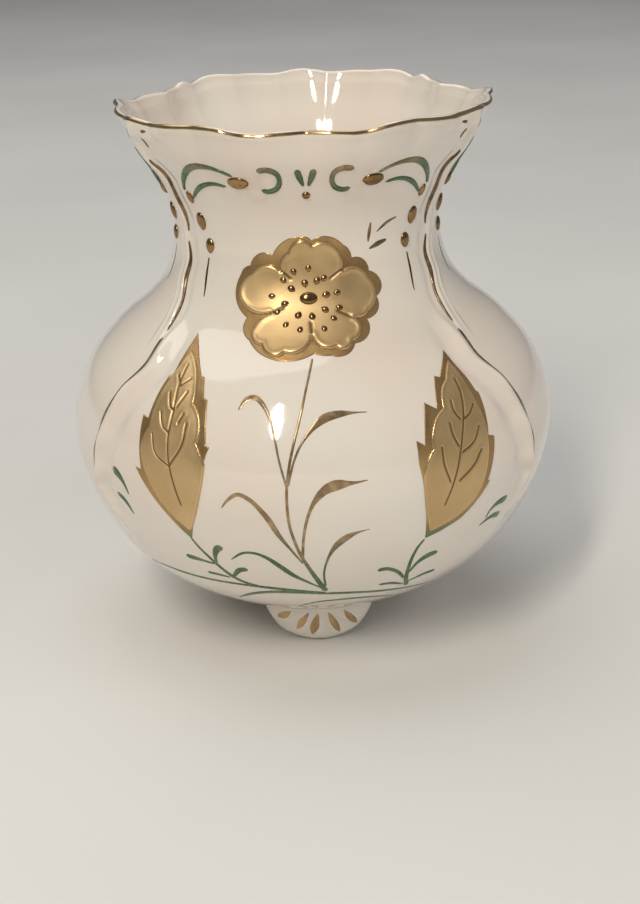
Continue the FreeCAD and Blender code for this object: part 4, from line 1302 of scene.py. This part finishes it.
def make_finishes():
    return {
        "porcelain": porcelain_finish(),
        "bright": bright_gold_finish("bright_gold_fired", BRIGHT_GOLD_DARK, BRIGHT_GOLD_LIGHT),
        # droplets and beads: gold with a painted dark reflection
        "drops": bright_gold_finish("gold_drops_dark_reflection", DROP_REFLECTION_DARK, DROP_REFLECTION_LIGHT),
        "border": edge_gold_finish(),
        "matte": matte_gold_finish(),
        # Stroke finishes: gold with a painted green reflection below the given heights
        "belly": painted_reflection_finish("line_gold_green_reflection_belly", 0.046, 0.064, 45.0),
        "neck": painted_reflection_finish("line_gold_green_reflection_neck", 0.158, 0.172, 30.0),
        "green_reflection": painted_reflection_finish("line_green_reflection_commas", 0.080, 0.100, 45.0),
        # corner lines: gold only, in dark colours that paint a dark reflection
        "dark_reflection": painted_reflection_finish(
            "line_gold_dark_reflection", -0.5, -0.4, 45.0, RIDGE_REFLECTION_DARK, RIDGE_REFLECTION_LIGHT,
        ),
    }


def make_panels(finishes):
    """Each panel's foot, neck beads and neck scroll."""
    half = swollen(HALF_SCROLL, SCROLL_SWELL)
    for name, turn in FOOT_TURNS.items():
        make_foot(name, turn, finishes["porcelain"])
        make_foot_gold(name, turn, finishes["bright"])
        make_beads("beads_" + name, turn, finishes["drops"], "neck_beads_" + name)
        scroll = moved_strokes(half, turn) + moved_strokes(half, turn, True)
        make_strokes("scroll_" + name, scroll, finishes["neck"], "neck_scroll_" + name, ENAMEL_LIFT)


def make_painted_lines(finishes):
    line = swollen(UPPER_CORNER_LINE, UPPER_LINE_SWELL) + swollen(LOWER_CORNER_LINE, LOWER_LINE_SWELL)
    for name, turn, mirrored in CORNER_LINES:
        rows = moved_strokes(line + RIM_MARKS, turn, mirrored)
        make_strokes("ridge_line_" + name, rows, finishes["dark_reflection"], "corner_line_" + name, LINE_LIFT)
    for name, node, rows, swell, finish in FRONT_STROKES:
        make_strokes(name, swollen(rows, swell), finishes[finish], node)


def make_flower(border, matte, drops):
    petals = [(x * PETAL_SCALE, y * PETAL_SCALE, bulge) for x, y, bulge in FLOWER_PETALS]
    make_plate(
        "flower_edge", FLOWER, FLOWER_BORDER, PLATE_STEP, flat_gilt, border, "bright_gold", "flower_border",
    )
    make_plate(
        "flower_face", FLOWER, petals, PLATE_STEP, petal_heights, matte, "matte_gold", "flower_petals", GILT,
    )
    make_drops(drops)


def make_leaves(border, matte):
    for side, motif, outline, face, veins in LEAVES:
        make_plate(
            "leaf_edge_" + side, motif, outline, PLATE_STEP, flat_gilt, border, "bright_gold",
            "leaf_border_" + side,
        )
        make_plate(
            "leaf_face_of_" + side, motif, face, LEAF_STEP, leaf_heights(veins), matte, "matte_gold",
            "leaf_face_" + side, GILT,
        )


def main():
    finishes = make_finishes()
    make_body(finishes["porcelain"])
    make_panels(finishes)
    make_rim_gold(finishes["bright"])
    make_painted_lines(finishes)
    make_flower(finishes["border"], finishes["matte"], finishes["drops"])
    make_leaves(finishes["border"], finishes["matte"])
    make_floor()
    make_lights()
    make_camera()
    bpy.context.scene.view_settings.view_transform = "Standard"


main()
